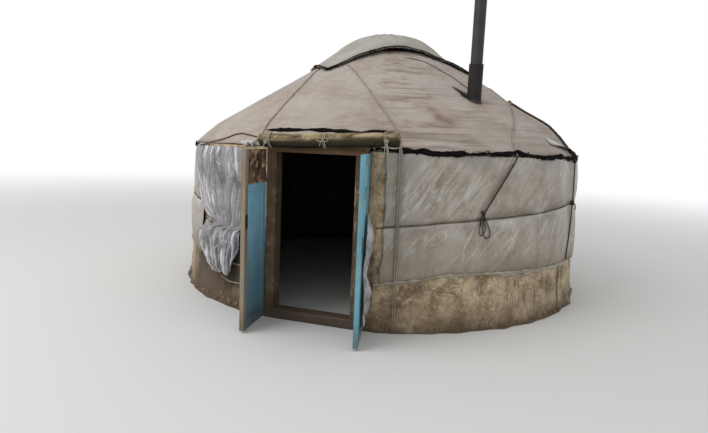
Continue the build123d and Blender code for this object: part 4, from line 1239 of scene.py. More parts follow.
def makeWallFelts(values):
    side, rows, last = values["doorSide"], values["rows"], values["count"] - 1
    first = math.degrees(math.asin(side / skin["wallFoot"])) - 1.0
    width = (360.0 - 2 * first) / values["count"]
    heights = np.linspace(0.0, values["top"], rows)
    corner = np.degrees(np.arcsin(side / (wallRadius(heights) * values["facet"])))
    share = np.linspace(0, 1, values["columns"])[:, None]
    for i in range(values["count"]):
        start = first + i * width
        low = corner if i == 0 else np.full(rows, start)
        high = 360.0 - corner if i == last else np.full(rows, start + width)
        a = low[None] + share * (high - low)[None]
        h = np.repeat(heights[None], values["columns"], 0)
        points = wallPoint(a, h, feltOut(a, h))
        if i == 0:
            points[0, :, 0] = side
        if i == last:
            points[-1, :, 0] = -side
        # Painted shade where the thin curtain hangs, left of the door, fading out upwards
        darkening = smoothStep(a, 306, 322) * (1 - smoothStep(h, 0.7, 1.15))
        darkening = darkening * np.clip(0.95 + 0.4 * roundNoise(a, h * 6, 70, 88, 2), 0, 1)
        stainAndShade = np.maximum(wallBlotches(a, h, values["stainsAndShade"]), darkening)
        seam = np.maximum(bump(share, 0, values["seam"]), bump(share, 1, values["seam"])) * np.ones_like(a)
        piece = clothPiece(f"wallFelt{i + 1}", points, "tanFelt", values["thickness"],
                           {"stainAndShade": stainAndShade, "seam": seam})
        finishPiece(piece, "wall_felt", f"wall_felt_{i + 1}")


makeWallFelts(wallFelts)
print("wall felts made")


# Outer sheets, pulled in by their ropes and belts

wallSheet = {
    "thickness": 0.003,
    "top": 1.684,
    "right": (15.1, 180.0),
    "left": (180.0, 322.0),
    "fineStep": 0.46,
    "fineTo": 92.0,
    "coarseStep": 0.9,
    "columns": 190,
    "rows": 110,
    "belly": 0.02,
    "crease": 0.0085,
    "fold": 0.019,
    "beltPleat": 0.008,
    "standOff": 0.009,
    "hang": 0.045,
    "hangOut": 0.012,
    "pulledIn": (0.0035, 0.004),  # by belts and by ropes
    "slack": 1.03,
    "flatHeight": 1.27,
}


def sheetOut(azimuth, height, parts=False):
    values = wallSheet
    azimuth, height = np.broadcast_arrays(np.asarray(azimuth, float), np.asarray(height, float))
    belt, band = beltHeight(belts["middle"], azimuth), beltHeight(belts["lower"], azimuth)
    upper = np.clip((height - belt) / (values["top"] - belt), 0, 1)
    lower = np.clip((height - band) / (belt - band), 0, 1)
    belly = np.where(height > belt, np.sin(math.pi * upper) ** 0.8, np.sin(math.pi * lower) ** 0.8)
    belly = values["belly"] * belly * (height > band)
    belly = belly * (0.65 + 0.35 * roundNoise(azimuth, height * 1.5, 34, 91, 1))
    near = ropeCloseness(azimuth, height, 0.05)
    belly = belly * (1 - 0.8 * near)
    # Creases slant down to the left above the belt, and hang steeper below it
    warp = 0.9 * roundNoise(azimuth, height * 1.2, 18, 93, 1)
    patchy = smoothStep(roundNoise(azimuth, height * 2.3, 40, 99, 2), -0.45, 0.75)
    broad = roundNoise(azimuth, height * 0.9 + warp, 46, 94, 1, -1.9)
    long = ridge(roundNoise(azimuth, height * 1.3 + warp, 120, 95, 1, -2.7), 0.16)
    short = ridge(roundNoise(azimuth, height * 3.4, 190, 97, 1, -2.0), 0.15)
    upright = ridge(roundNoise(azimuth, height * 1.6, 170, 98, 2, -0.45), 0.16)
    slack = ridge(roundNoise(azimuth, height * 2.4 - warp, 70, 96, 1, 1.5), 0.09)
    above = smoothStep(height - belt, -0.06, 0.06)
    crease = above * np.maximum(long, 0.8 * short) + (1 - above) * np.maximum(0.8 * upright, 0.6 * short)
    crease = np.maximum(crease, 0.5 * slack) * patchy * (height > band)
    away = np.minimum(np.abs(height - belt), np.abs(height - band))
    pleats = np.abs(roundNoise(azimuth, height * 2.5, 150, 101, 1))
    pleat = bump(away, 0.035, 0.045) * pleats
    tight = bump(away, 0.0, 0.012)
    hang = (height < band) * np.clip((band - height) / values["hang"], 0, 1)
    out = values["standOff"] + belly + values["crease"] * crease * (1 - tight) + values["beltPleat"] * pleat
    out = out + values["fold"] * np.maximum(broad, 0) * (1 - bump(away, 0, 0.06)) * (height > band)
    out = out + hang * values["hangOut"] * (0.6 + 0.6 * roundNoise(azimuth, height, 130, 103, 1))
    out = out - values["pulledIn"][0] * tight - values["pulledIn"][1] * near
    # With parts it also gives the ridges, for painted highlights, the hollows beside the belts, for painted
    # shade, and the ropes' closeness
    if parts:
        return out, crease, np.clip(0.9 * tight + 0.55 * pleat * 2, 0, 1), near
    return out


sheetMarks = {
    "pale": ((56.0, 1.16, 0.07, 0.05, 0.8), (30.0, 1.3, 0.03, 0.25, 0.35), (66.0, 0.95, 0.05, 0.2, 0.35)),
    "tears": ((55.5, 0.5, 0.012, 0.1, 1.0), (53.0, 0.8, 0.02, 0.015, 0.6)),
    "seamWidth": 0.006,
    "seamTop": 1.1,
    "seamAngles": (30.6, 55.0, 76.0, 118.0, 160.0, 205.0, 250.0, 290.0),
}


def makeWallSheet(name, node, low, high, values):
    middle = values["fineTo"]
    if low < middle:
        azimuths = steps((low, middle, values["fineStep"]), (middle, high, values["coarseStep"]))
    else:
        azimuths = np.linspace(low, high, values["columns"])
    band = beltHeight(belts["lower"], azimuths)
    ragged = values["hang"] * (0.55 + 0.5 * roundNoise(azimuths, 0 * azimuths, 110, 105, 2))
    foot = band - np.maximum(ragged, 0.012)
    share = np.linspace(0, 1, values["rows"])
    a = np.repeat(azimuths[:, None], len(share), 1)
    h = foot[:, None] + (values["top"] - foot[:, None]) * share[None]
    for edge, side in ((low, 1), (high, -1)):
        near = np.clip(1 - np.abs(a - edge) / 2.0, 0, 1)
        a = a + side * near * 0.45 * (1 + roundNoise(0 * a + edge, h * 5.0, 60, 106, 3))
    out, crease, hollowShade, near = sheetOut(a, h, True)
    points = wallPoint(a, h, out)
    blue = 0.7 * smoothStep(h, 1.5, 1.66) * np.clip(0.4 + 0.9 * roundNoise(a, h * 3, 60, 107), 0, 1)
    pale = wallBlotches(a, h, sheetMarks["pale"])
    pale = np.maximum(pale, 0.65 * smoothStep(beltHeight(belts["lower"], a) - h, 0.0, 0.02))
    dark = wallBlotches(a, h, sheetMarks["tears"])
    seams = np.zeros_like(a)
    for place in sheetMarks["seamAngles"]:
        drift = 0.25 * roundNoise(a, h * 4, 40, 109, 1)
        aside = np.radians(wrapped(a - place - drift)) * skin["wallMiddle"]
        seams = np.maximum(seams, bump(aside, 0, sheetMarks["seamWidth"]) * (h < sheetMarks["seamTop"]))
    # Painted shade in the hollows and beside the ropes, with the seams' own dark lines
    hollowShade = np.maximum(hollowShade, np.maximum(seams, 0.5 * near))
    # A side that leans back to the sky is paler, and the side beneath a fold is darker
    rise = np.gradient(out, axis=1) / np.maximum(np.gradient(h, axis=1), 1e-6)
    lit = np.clip(-3.0 * rise - 0.1, 0, 1)
    shade = np.clip(3.0 * rise - 0.1, 0, 1)
    piece = clothPiece(name, points, "coatedSheet", values["thickness"],
                       {"crease": crease, "hollowShade": hollowShade, "blueShade": blue, "pale": pale, "dark": dark,
                        "lit": lit, "shade": shade})
    finishPiece(piece, "wall_film", node)


makeWallSheet("wallSheetRight", "wall_sheet_right", *wallSheet["right"], wallSheet)
makeWallSheet("wallSheetLeft", "wall_sheet_left", *wallSheet["left"], wallSheet)
print("wall sheets made")


# Hem under the eave, belts, band and ropes

eaveHem = {
    "height": 0.044,
    "thickness": 0.015,
    "step": 0.4,
    "standOff": 0.011,
    "leanFrom": 1.7,  # above this height it leans in with the roof
    "lean": 0.65,
    "sides": ((13.0, 180.0), (180.0, 317.0)),
    "line": ((-180, 1.692), (-90, 1.69), (-41, 1.655), (-31, 1.69), (-22, 1.722), (-18, 1.712), (13, 1.708),
             (18, 1.712), (27, 1.7), (36.7, 1.705), (48, 1.728), (57, 1.692), (71, 1.694), (110, 1.69),
             (180, 1.692)),
    "lip": ((-17.0, 1.846), (-6.3, 1.853), (1.6, 1.862), (9.1, 1.848), (17.4, 1.866)),
    "lipSection": (0.034, 0.016),
    # The woven red edging that shows at the left
    "edging": ((-43.0, 1.662), (-38.1, 1.68), (-31.3, 1.729), (-26.7, 1.786), (-24.1, 1.8),
               (-18.0, 1.776)),
    "edgingSection": (0.014, 0.009),
}


def hemPlace(azimuth, out):
    values = eaveHem
    line = np.array(values["line"])
    height = np.interp(wrapped(azimuth), line[:, 0], line[:, 1])
    height = height + 0.01 * roundNoise(azimuth, 0 * azimuth, 84, 111, 3)
    inwards = values["lean"] * np.clip(height - values["leanFrom"], 0, 1)
    return skin["eave"] * scallop(azimuth) + out - inwards, height


def alongLine(line, drift, cells, seed):
    places = np.array(line)
    a = np.arange(places[0, 0], places[-1, 0], 0.3)
    return a, np.interp(a, places[:, 0], places[:, 1]) + drift * roundNoise(a, 0 * a, cells, seed, 2)


def makeEaveHem(values):
    parts = []
    for low, high in values["sides"]:
        a = np.arange(low, high + 0.01, values["step"])
        radius, z = hemPlace(a, values["standOff"] + 0.007 * roundNoise(a, 0 * a, 60, 113, 2))
        size = np.clip(1 + 0.45 * roundNoise(a, 0 * a, 150, 117, 3), 0.45, 1.8)
        parts.append(dict(path=polar(radius, a, z), ups=outwards(a) + [0, 0, 0.1], sizes=size,
                          section=ovalSection(values["height"], values["thickness"], 12)))
    a, z = alongLine(values["lip"], 0.005, 110, 115)
    size = np.clip(1 + 0.4 * roundNoise(a, 0 * a, 150, 118, 3), 0.4, 1.6)
    size = size * np.clip(np.minimum(a - a[0], a[-1] - a) / 2.0, 0.25, 1)
    parts.append(dict(path=roofPoint(a, roofPlace(z), 0.009), ups=outwards(a) + [0, 0, 0.7], sizes=size,
                      section=ovalSection(*values["lipSection"], 12)))
    finishPiece(sweepPiece("eaveHem", parts, "blackFelt"), "felt_hem", "eave_hem")
    a, z = alongLine(values["edging"], 0.003, 120, 116)
    edging = dict(path=skinPoint(a, z, 0.008), ups=outwards(a) + [0, 0, 0.5],
                  section=ovalSection(*values["edgingSection"]))
    finishPiece(sweepPiece("redEdging", [edging], "redWeave"), "felt_hem")


makeEaveHem(eaveHem)


def makeBelts(values):
    for name, node, course, width, thick, look, lumps, turns in values["made"]:
        route = values[course]
        a = np.arange(route[0][0], route[-1][0] + 0.01, values["step"])
        z = beltHeight(route, a) + 0.004 * roundNoise(a, 0 * a, 90, 119, 2)
        low, high = values["onSheet"]
        out = np.where((a > low) & (a < high), sheetOut(a, z) + 0.006, feltOut(a, z) + 0.01)
        part = dict(path=wallPoint(a, z, boxed(out, 5)), ups=outwards(a), section=ovalSection(width, thick),
                    sizes=1 + lumps * roundNoise(a, 0 * a, 180, 121, 2), turns=turns)
        finishPiece(sweepPiece(name, [part], look), "rope", node)


makeBelts(belts)


def makeRopes(values):
    pale, dark = [], []
    for i, route in enumerate(values["routes"]):
        path = smoothRoute(route)
        radius = values["thick"][i]
        height = path[:, 1]
        onRoof = height > 1.7
        runs = [(path, radius, values["dark"][i])]
        if i == 0:
            below, aside, share = values["doubled"]
            runs.append((path[height < below] + [aside, 0.0], radius * share, False))
        if i == 2:
            runs = [(path[onRoof], values["thinOnRoof"], False), (path[~onRoof], radius, True)]
        if i == 3:
            knot, above, wall = values["tied"]
            runs = [(path[height >= knot], radius * above, False),
                    (path[(height < knot) & onRoof], radius, True), (path[~onRoof], radius * wall, True)]
        for run, thick, isDark in runs:
            a, z = run[:, 0], run[:, 1]
            part = dict(path=skinPoint(a, z, thick + 0.0015), ups=outwards(a) + [0, 0, 0.4],
                        section=ropeSection(thick), turns=values["twist"])
            (dark if isDark else pale).append(part)
    finishPiece(sweepPiece("paleRopes", pale, "paleRope"), "rope", "tie_ropes")
    finishPiece(sweepPiece("darkRopes", dark, "darkRope"), "rope", "tie_ropes")
    a, z = smoothRoute(values["thread"]).T
    thread = dict(path=skinPoint(a, z, 0.004), ups=outwards(a) + [0, 0, 0.5],
                  section=cordSection(values["threadRadius"]))
    finishPiece(sweepPiece("roofThread", [thread], "brownCord"), "rope")


makeRopes(ropes)
print("hem, belts and ropes made")


# Thin curtain beside the doorway, knotted up at its foot

gatheredSheet = {
    # Height, azimuths of both edges, stand-off in the middle and depth of the pleats
    "rows": ((1.662, -50.0, -20.5, 0.012, 0.01), (1.56, -52.0, -20.0, 0.022, 0.022),
             (1.195, -43.5, -19.8, 0.034, 0.032), (1.000, -38.5, -19.6, 0.036, 0.04),
             (0.93, -35.6, -19.6, 0.036, 0.04), (0.88, -34.2, -19.8, 0.036, 0.034),
             (0.83, -36.0, -19.6, 0.062, 0.048), (0.74, -37.0, -19.4, 0.088, 0.064),
             (0.6, -34.6, -19.8, 0.095, 0.062), (0.48, -32.2, -20.8, 0.09, 0.056),
             (0.4, -30.8, -21.6, 0.072, 0.046), (0.35, -29.4, -22.6, 0.045, 0.022)),
    # Azimuth and height of the knot, how strongly it draws the cloth in, and how far that reaches
    "knot": (-31.6, 0.88, 0.75, 0.075, 3.4),
    "thickness": 0.0022,
    "across": 150,
    "along": 162,
    "pleats": 17.0,
    "knotAt": 0.62,  # the knot's share of the way down
    "standOff": 0.022,
    "least": 0.012,
    "flat": (1.45, 1.32),
}


def makeGatheredSheet(values):
    rows = np.array(values["rows"])
    t = np.linspace(0, 1, values["along"])
    height = rows[0, 0] + (rows[-1, 0] - rows[0, 0]) * t
    edges = [np.interp(-height, -rows[:, 0], rows[:, k]) for k in range(1, 5)]
    left, right, stand, depth = [boxed(row, 7) for row in edges]
    u = np.linspace(0, 1, values["across"])[:, None]
    below = smoothStep(t, values["knotAt"] - 0.01, values["knotAt"] + 0.03)[None]
    drift = 1.1 * softNoise(u * 3 + 5, t[None] * 3, 131)
    count = values["pleats"] * (1 + 0.35 * below)
    noise = softNoise(u * count + drift + 40 * (below > 0.5), t[None] * 2.2, 133)
    small = softNoise(u * count * 2.3 + drift * 2, t[None] * 7, 135)
    crumple = softNoise(u * 9 + 3, t[None] * 16, 137) * below
    pleat = np.abs(noise) * 1.2 + 0.25 * np.abs(small)
    azimuth = left[None] + (right - left)[None] * u
    knotAzimuth, knotHeight, draw, reach, spread = values["knot"]
    drawn = bump(height[None], knotHeight, reach) * bump(azimuth, knotAzimuth, spread)
    azimuth = azimuth + (knotAzimuth - azimuth) * draw * drawn
    ragged = np.where(t > 0.93, 0.018 * softNoise(u * 14, 0 * t[None], 139), 0.0)
    arch = np.sin(math.pi * np.clip(u, 0.02, 0.98)) ** 0.55
    out = values["standOff"] + stand[None] * arch + depth[None] * (pleat - 0.35)
    out = np.maximum((out + 0.02 * np.abs(crumple) * below) * (1 - 0.62 * drawn), values["least"])
    points = wallPoint(azimuth, height[None] + ragged, out)
    # Painted highlights on the pleats' crests, and painted shade in their valleys and at the knot
    crease = np.clip(smoothStep(pleat, 0.75, 1.25) + 0.6 * smoothStep(np.abs(small), 0.6, 0.9), 0, 1)
    hollowShade = np.clip(0.8 * ridge(noise, 0.13) + 0.35 * ridge(small, 0.1), 0, 1)
    knotted = bump(height[None], knotHeight, 0.02) * bump(azimuth, knotAzimuth, 4.0)
    hollowShade = np.clip(hollowShade + 0.6 * knotted, 0, 1)
    piece = clothPiece("gatheredSheet", points, "thinCurtain", values["thickness"],
                       {"crease": crease, "hollowShade": hollowShade})
    finishPiece(piece, "gathered_sheet", "gathered_sheet")


def knotPart(centre, size, radius, outward):
    # A trefoil pulled tight
    t = np.linspace(0, math.tau, 90, endpoint=False)
    outward = np.asarray(outward, float) / np.linalg.norm(outward)
    side = np.cross([0, 0, 1.0], outward)
    side /= np.linalg.norm(side)
    rise = np.cross(outward, side)
    across, up, depth = np.sin(t) + 2 * np.sin(2 * t), np.cos(t) - 2 * np.cos(2 * t), -np.sin(3 * t)
    path = (np.asarray(centre) + size / 3 * (across[:, None] * side + up[:, None] * rise)
            + size / 2 * depth[:, None] * outward)
    return dict(path=path, ups=path - centre + 0.3 * outward, section=cordSection(radius, 11), closed=True)


def curvePart(points, radius, outward, count=40):
    # A cord through a few chosen points
    points = np.asarray(points, float)
    lengths = lengthsAlong(points)
    at = np.linspace(0, lengths[-1], count)
    path = np.stack([np.interp(at, lengths, points[:, k]) for k in range(3)], -1)
    for _ in range(max(count // 8, 3)):
        path[1:-1] = 0.25 * path[:-2] + 0.5 * path[1:-1] + 0.25 * path[2:]
    return dict(path=path, ups=np.tile(np.asarray(outward, float), (count, 1)), turns=ropes["twist"],
                section=cordSection(radius))


def wallCurve(places, radius, count):
    # The same along the wall, through azimuth, height and stand-off
    places = np.asarray(places, float)
    return curvePart(wallPoint(*places.T), radius, outwards(places[:, 0].mean()) + [0, 0, 0.35], count)


tieKnots = {
    # Azimuth, height, stand-off and size
    "dark": ((38.2, 1.15, 0.03, 0.02), (75.8, 1.19, 0.034, 0.024), (75.8, 1.66, 0.036, 0.02)),
    "roof": (84.0, 2.29, 0.022, 0.022),
    "pale": ((18.4, 1.735, 0.03, 0.017), (-31.0, 0.868, 0.075, 0.022), (139.5, 1.2, 0.03, 0.018),
             (178.0, 1.25, 0.03, 0.018), (226.0, 1.2, 0.03, 0.018), (270.0, 1.16, 0.03, 0.018)),
    "cord": 0.4,  # its radius as a share of the knot's size
    "loop": (38.2, 1.14, 0.235, 0.062),  # azimuth, height, drop and width
    "strands": ((1.0, 1.0, 0.034), (0.86, -0.7, 0.041)),  # size, lean and stand-off
    "loopCord": 0.0055,
    "tails": (((38.2, 1.14, 0.032), (37.2, 1.09, 0.036), (37.4, 1.02, 0.034)),
              ((75.8, 1.2, 0.036), (77.6, 1.16, 0.05), (78.2, 1.1, 0.045))),
    "tailCord": 0.006,
    # What hangs from the thin curtain's knot, what binds it, and the cord along the felt at its left
    "loose": ((0.0045, 40, ((-31.0, 0.868, 0.09), (-34.5, 0.76, 0.13), (-38.0, 0.6, 0.1),
                            (-38.9, 0.45, 0.07))),
              (0.006, 30, ((-34.2, 0.885, 0.05), (-32.6, 0.89, 0.066), (-30.8, 0.88, 0.062))),
              (0.007, 40, ((-27.0, 0.3, 0.026), (-23.0, 0.268, 0.026), (-19.0, 0.275, 0.026),
                            (-14.0, 0.3, 0.026)))),
}


def makeTieKnots(values):
    dark, pale = ([knotPart(wallPoint(azimuth, height, out), size, size * values["cord"], outwards(azimuth))
                   for azimuth, height, out, size in values[key]] for key in ("dark", "pale"))
    azimuth, height, out, size = values["roof"]
    pale.append(knotPart(skinPoint(azimuth, height, out), size, size * values["cord"], (0.6, 0.0, 0.8)))
    azimuth, height, drop, width = values["loop"]
    t = np.linspace(0.0, math.tau, 60)
    for share, lean, depth in values["strands"]:
        aside = np.degrees(width * share * np.sin(t) * np.sin(t / 2) ** 2 / 2.45) + lean * (1 - np.cos(t)) / 2
        z = height - drop * share * (1 - np.cos(t)) / 2
        places = np.stack([azimuth + aside, z, depth + 0.01 * np.sin(t / 2)], -1)
        dark.append(wallCurve(places, values["loopCord"], 60))
    dark += [wallCurve(tail, values["tailCord"], 20) for tail in values["tails"]]
    loose = [wallCurve(places, radius, count) for radius, count, places in values["loose"]]
    finishPiece(sweepPiece("darkKnots", dark, "darkRope"), "rope")
    finishPiece(sweepPiece("paleKnots", pale, "paleRope"), "rope")
    finishPiece(sweepPiece("curtainCord", loose, "paleRope"), "rope")


makeGatheredSheet(gatheredSheet)
makeTieKnots(tieKnots)
print("gathered sheet and knots made")


# Door curtain: felt rolled up over the lintel, a true spiral

curtainRoll = {
    "low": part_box("curtain_roll")[0],
    "high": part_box("curtain_roll")[1],
    "tilt": math.radians(2.09),
    "inside": 0.02,
    "outside": 0.0705,
    "turns": 4.4,
    "thickness": 0.0085,
    "ties": (-0.56, -0.01, 0.56),
    "pinch": 0.13,
    "sag": 0.006,
    "columns": 126,
    "rows": 182,
    "freeEdge": 0.006,
}

curtainTies = {
    "shifts": (-0.007, 0.008),  # each tie goes round twice
    "cord": 0.0048,
    "bowCord": 0.0042,
    "bowTail": ((0, 0, 0), (0.014, -0.012, -0.022), (0.03, -0.004, -0.062)),
    "bowTailCord": 0.004,
    "bowKnot": (0.011, 0.0045),
    "knot": (0.016, 0.0062),
    # The tie, its side, and how far its loose ends hang aside and down
    "ends": ((2, 1, ((0.03, -0.15), (0.012, -0.125), (-0.02, -0.105))), (0, -1, ((-0.02, -0.07),))),
    "endCord": 0.0052,
    "slings": ((0, (-17.6, 1.845)), (2, (16.6, 1.885))),  # both ends are slung from the roof
    "slingCord": 0.0055,
}


def rollPoint(along, turn, radius):
    values = curtainRoll
    low, high = values["low"], values["high"]
    centre = (low + high) / 2
    tilt = values["tilt"]
    sag = -values["sag"] * (1 - (along / 0.67) ** 2) + 0.004 * softNoise(along * 4 + 9, 0 * along, 141)
    y = centre.y - radius * np.cos(turn)
    rise = radius * np.sin(turn) + sag
    x = centre.x + along * math.cos(tilt) - rise * math.sin(tilt)
    z = centre.z + along * math.sin(tilt) + rise * math.cos(tilt)
    return np.stack([x, y, z], -1)


def makeCurtainRoll(values):
    half = (values["high"].x - values["low"].x) / 2 - 0.004
    x = np.linspace(-half, half, values["columns"])[:, None]
    t = np.linspace(0, values["turns"], values["rows"])[None]
    radius = values["inside"] + (values["outside"] - values["inside"]) * t / values["turns"]
    outer = smoothStep(t, values["turns"] - 1.6, values["turns"] - 0.6)
    pinch = sum(bump(x, tie, 0.03) for tie in values["ties"])
    swell = 1 - values["pinch"] * pinch - 0.1 * bump(x, -half, 0.05) - 0.05 * bump(x, half, 0.04)
    angle = (t - values["turns"]) * math.tau + math.radians(-70)
    wrap = (t - values["turns"]) * 8 + 64
    lumps = softNoise(x * 6 + 20, wrap * 0.8, 143) * 0.0035 + softNoise(x * 16 + 20, wrap * 1.7, 145) * 0.0016
    lengthwise = ridge(softNoise(x * 2.3 + 20, wrap * 1.15, 147), 0.12)
    gathers = ridge(softNoise(x * 5 + 31, wrap * 2.1 + 3, 149), 0.14) * np.clip(pinch * 1.6 + 0.15, 0, 1)
    crease = np.clip(0.9 * lengthwise + gathers, 0, 1)
    radius = radius * swell + (lumps - 0.0028 * crease) * outer
    # The free edge stands off a little
    free = smoothStep(t, values["turns"] - 0.08, values["turns"]) * (0.6 + softNoise(x * 7, 0 * t, 151))
    radius = radius + values["freeEdge"] * free
    points = rollPoint(x + 0 * t, angle + 0 * x, radius)
    # Painted shade in the creases and under the free edge, and over the roll's lower side, darker towards its
    # left end
    under = np.clip(crease * outer + 0.45 * bump(t, values["turns"], 0.04), 0, 1)
    shaded = smoothStep(-np.sin(angle) + 0.3 * softNoise(x * 4 + 3, wrap * 0.5, 153), -0.72, 0.22)
    shaded = np.maximum(shaded, 0.55 * bump(x, -half, 0.12))
    piece = clothPiece("curtainRoll", points, "rolledFelt", values["thickness"],
                       {"crease": under, "under": shaded})
    finishPiece(piece, "curtain_felt", "curtain_roll")


def makeCurtainTies(values, roll):
    parts = []
    ties, tight = roll["ties"], roll["outside"] * (1 - roll["pinch"])
    turn = np.linspace(0, math.tau, 48, endpoint=False)
    for tie in ties:
        for shift in values["shifts"]:
            radius = tight + 0.0045 + 0.002 * np.sin(3 * turn + tie)
            path = rollPoint(tie + shift + 0.006 * np.sin(turn + tie * 5), turn, radius)
            ups = rollPoint(tie + 0 * turn, turn, radius + 0.05) - rollPoint(tie + 0 * turn, turn, radius)
            parts.append(dict(path=path, ups=ups, section=cordSection(values["cord"]), closed=True))
    front = tight + 0.016
    bow = rollPoint(np.array([ties[1]]), np.array([0.1]), front)[0]
    t = np.linspace(0, math.tau, 40)
    for side in (-1, 1):
        loop = bow + np.stack([side * 0.052 * np.sin(t / 2) ** 2, -0.01 * np.sin(t / 2),
                               0.017 * np.sin(t) - 0.008 * np.sin(t / 2) ** 2], -1)
        parts.append(curvePart(loop, values["bowCord"], (0, -1, 0.1)))
        tail = bow + np.array(values["bowTail"]) * [side, 1, 1]
        parts.append(curvePart(tail, values["bowTailCord"], (0, -1, 0.1), 18))
    parts.append(knotPart(bow, *values["bowKnot"], (0, -1, 0)))
    for which, side, ends in values["ends"]:
        start = rollPoint(np.array([ties[which] + 0.02 * side]), np.array([-0.2]), front)[0]
        parts.append(knotPart(start, *values["knot"], (0, -1, 0)))
        for k, (aside, drop) in enumerate(ends):
            hang = start + np.array([(0, 0, 0), (aside * 0.5, -0.014 + 0.006 * k, drop * 0.35),
                                     (aside, -0.004 + 0.008 * k, drop)])
            parts.append(curvePart(hang, values["endCord"], (0, -1, 0.1), 20))
    for which, top in values["slings"]:
        rolled = rollPoint(np.array([ties[which]]), np.array([math.pi / 2 + 0.3]), 0.07)[0]
        above = skinPoint(*top, 0.008)
        sling = [rolled, (rolled + above) / 2 + [0, -0.004, 0.004], above]
        parts.append(curvePart(sling, values["slingCord"], (0, -1, 0.3), 16))
    finishPiece(sweepPiece("curtainTies", parts, "paleRope"), "rope", "curtain_ties")


makeCurtainRoll(curtainRoll)
makeCurtainTies(curtainTies, curtainRoll)
print("door curtain made")


# Scraps: torn film on the right leaf, a rag over the left leaf, a lifted flap at the eave

scraps = {
    "rightHinge": (0.502, -2.4718),
    "rightOpen": 101.5,
    "leafFace": 0.0295,
    # Height, both edges along the leaf, and how far it stands off
    "film": ((1.13, 0.08, 0.11, 0.004), (1.08, 0.06, 0.15, 0.02), (0.96, 0.045, 0.21, 0.058),
             (0.83, 0.045, 0.24, 0.06), (0.7, 0.07, 0.27, 0.03), (0.625, 0.14, 0.25, 0.008),
             (0.56, 0.12, 0.25, 0.022), (0.43, 0.06, 0.235, 0.062), (0.3, 0.055, 0.22, 0.055),
             (0.19, 0.08, 0.19, 0.028), (0.11, 0.11, 0.17, 0.01)),
    "filmCount": (36, 104),
    "filmThickness": 0.0018,
    "filmFlat": (0.24, 1.05),
    # Cloth caught between the eave and the curtain's left end: azimuths, foot and top
    "rag": (-20.6, -16.9, 1.7, 1.742),
    "ragCount": (40, 24),
    "ragThickness": 0.0025,
    # A stiff fold of the roof cloth that stands up at the right: azimuths, then foot and top at both ends
    "flap": (65.5, 83.0, (1.815, 1.888), (1.707, 1.76)),
    "flapCount": (40, 14),
    "flapThickness": 0.004,
}


def makeLeafFilm(values):
    rows = np.array(values["film"])
    u, t = (np.linspace(0, 1, count) for count in values["filmCount"])
    u = u[:, None]
    height = rows[0, 0] + (rows[-1, 0] - rows[0, 0]) * t
    near, far, stand = [np.interp(-height, -rows[:, 0], rows[:, k]) for k in (1, 2, 3)]
    folds = np.abs(softNoise(u * 5 + 0.8 * softNoise(u * 2, t[None] * 5, 161), t[None] * 6, 163))
    small = softNoise(u * 11, t[None] * 26, 165)
    ragged = 0.01 * softNoise(0 * u + 3, t[None] * 13, 167) * (2 * u - 1)
    along = near[None] + (far - near)[None] * u + ragged
    arch = np.sin(math.pi * np.clip(u, 0.03, 0.97)) ** 0.6
    out = 0.006 + stand[None] * arch + 0.018 * folds + 0.004 * small
    angle = math.radians(values["rightOpen"])
    direction = np.array([-math.cos(angle), -math.sin(angle), 0.0])
    normal = np.array([math.sin(angle), -math.cos(angle), 0.0])
    points = (np.array([*values["rightHinge"], 0.0]) + direction * along[..., None]
              + normal * (values["leafFace"] + out)[..., None]
              + np.array([0, 0, 1.0]) * (height[None] + 0 * u)[..., None])
    # Painted highlights on the folds' ridges, painted shade in their hollows
    crease, hollowShade = smoothStep(folds, 0.35, 0.8), ridge(folds, 0.12)
    piece = clothPiece("leafFilm", points[::-1], "tornFilm", values["filmThickness"],
                       {"crease": crease[::-1], "hollowShade": hollowShade[::-1]})
    finishPiece(piece, "gathered_sheet", body="right_leaf")


def makeRag(values):
    low, high, foot, top = values["rag"]
    azimuth = np.linspace(low, high, values["ragCount"][0])[:, None]
    t = np.linspace(0, 1, values["ragCount"][1])[None]
    top = top + 0.012 * softNoise(azimuth * 0.9, 0 * t, 171)
    foot = foot - 0.016 * softNoise(azimuth * 1.1 + 5, 0 * t, 173)
    folds = softNoise(azimuth * 1.3, t * 1.5, 175)
    out = 0.03 + 0.016 * np.abs(folds) + 0.016 * np.sin(math.pi * t)
    points = wallPoint(azimuth + 0 * t, foot + (top - foot) * t, out)
    # Painted highlights on the folds and painted shade in their hollows
    piece = clothPiece("eaveRag", points, "tornFilm", values["ragThickness"],
                       {"crease": np.abs(folds), "hollowShade": ridge(folds, 0.15)})
    finishPiece(piece, "gathered_sheet")


def makeEaveFlap(values):
    first, last, start, end = values["flap"]
    azimuth = np.linspace(first, last, values["flapCount"][0])[:, None]
    t = np.linspace(0, 1, values["flapCount"][1])[None]
    share = (azimuth - first) / (last - first)
    low, high = (start[k] + (end[k] - start[k]) * share for k in (0, 1))
    out = 0.006 + 0.042 * (1 - t) * np.sin(math.pi * np.clip(share, 0.05, 0.95))
    points = skinPoint(azimuth + 0 * t, low + (high - low) * t, out)
    # A painted highlight along its top, and painted shade at its foot beneath it
    fields = {"crease": 0.5 * bump(t, 1, 0.4) + 0 * azimuth, "hollowShade": 1.2 * bump(t, 0, 0.22) + 0 * azimuth}
    finishPiece(clothPiece("eaveFlap", points, "tornFilm", values["flapThickness"], fields), "roof_canvas")


makeLeafFilm(scraps)
makeRag(scraps)
makeEaveFlap(scraps)
print("scraps made")


# Small repeated things set out by Geometry Nodes: felt tufts along the black edges, scraps at the foot

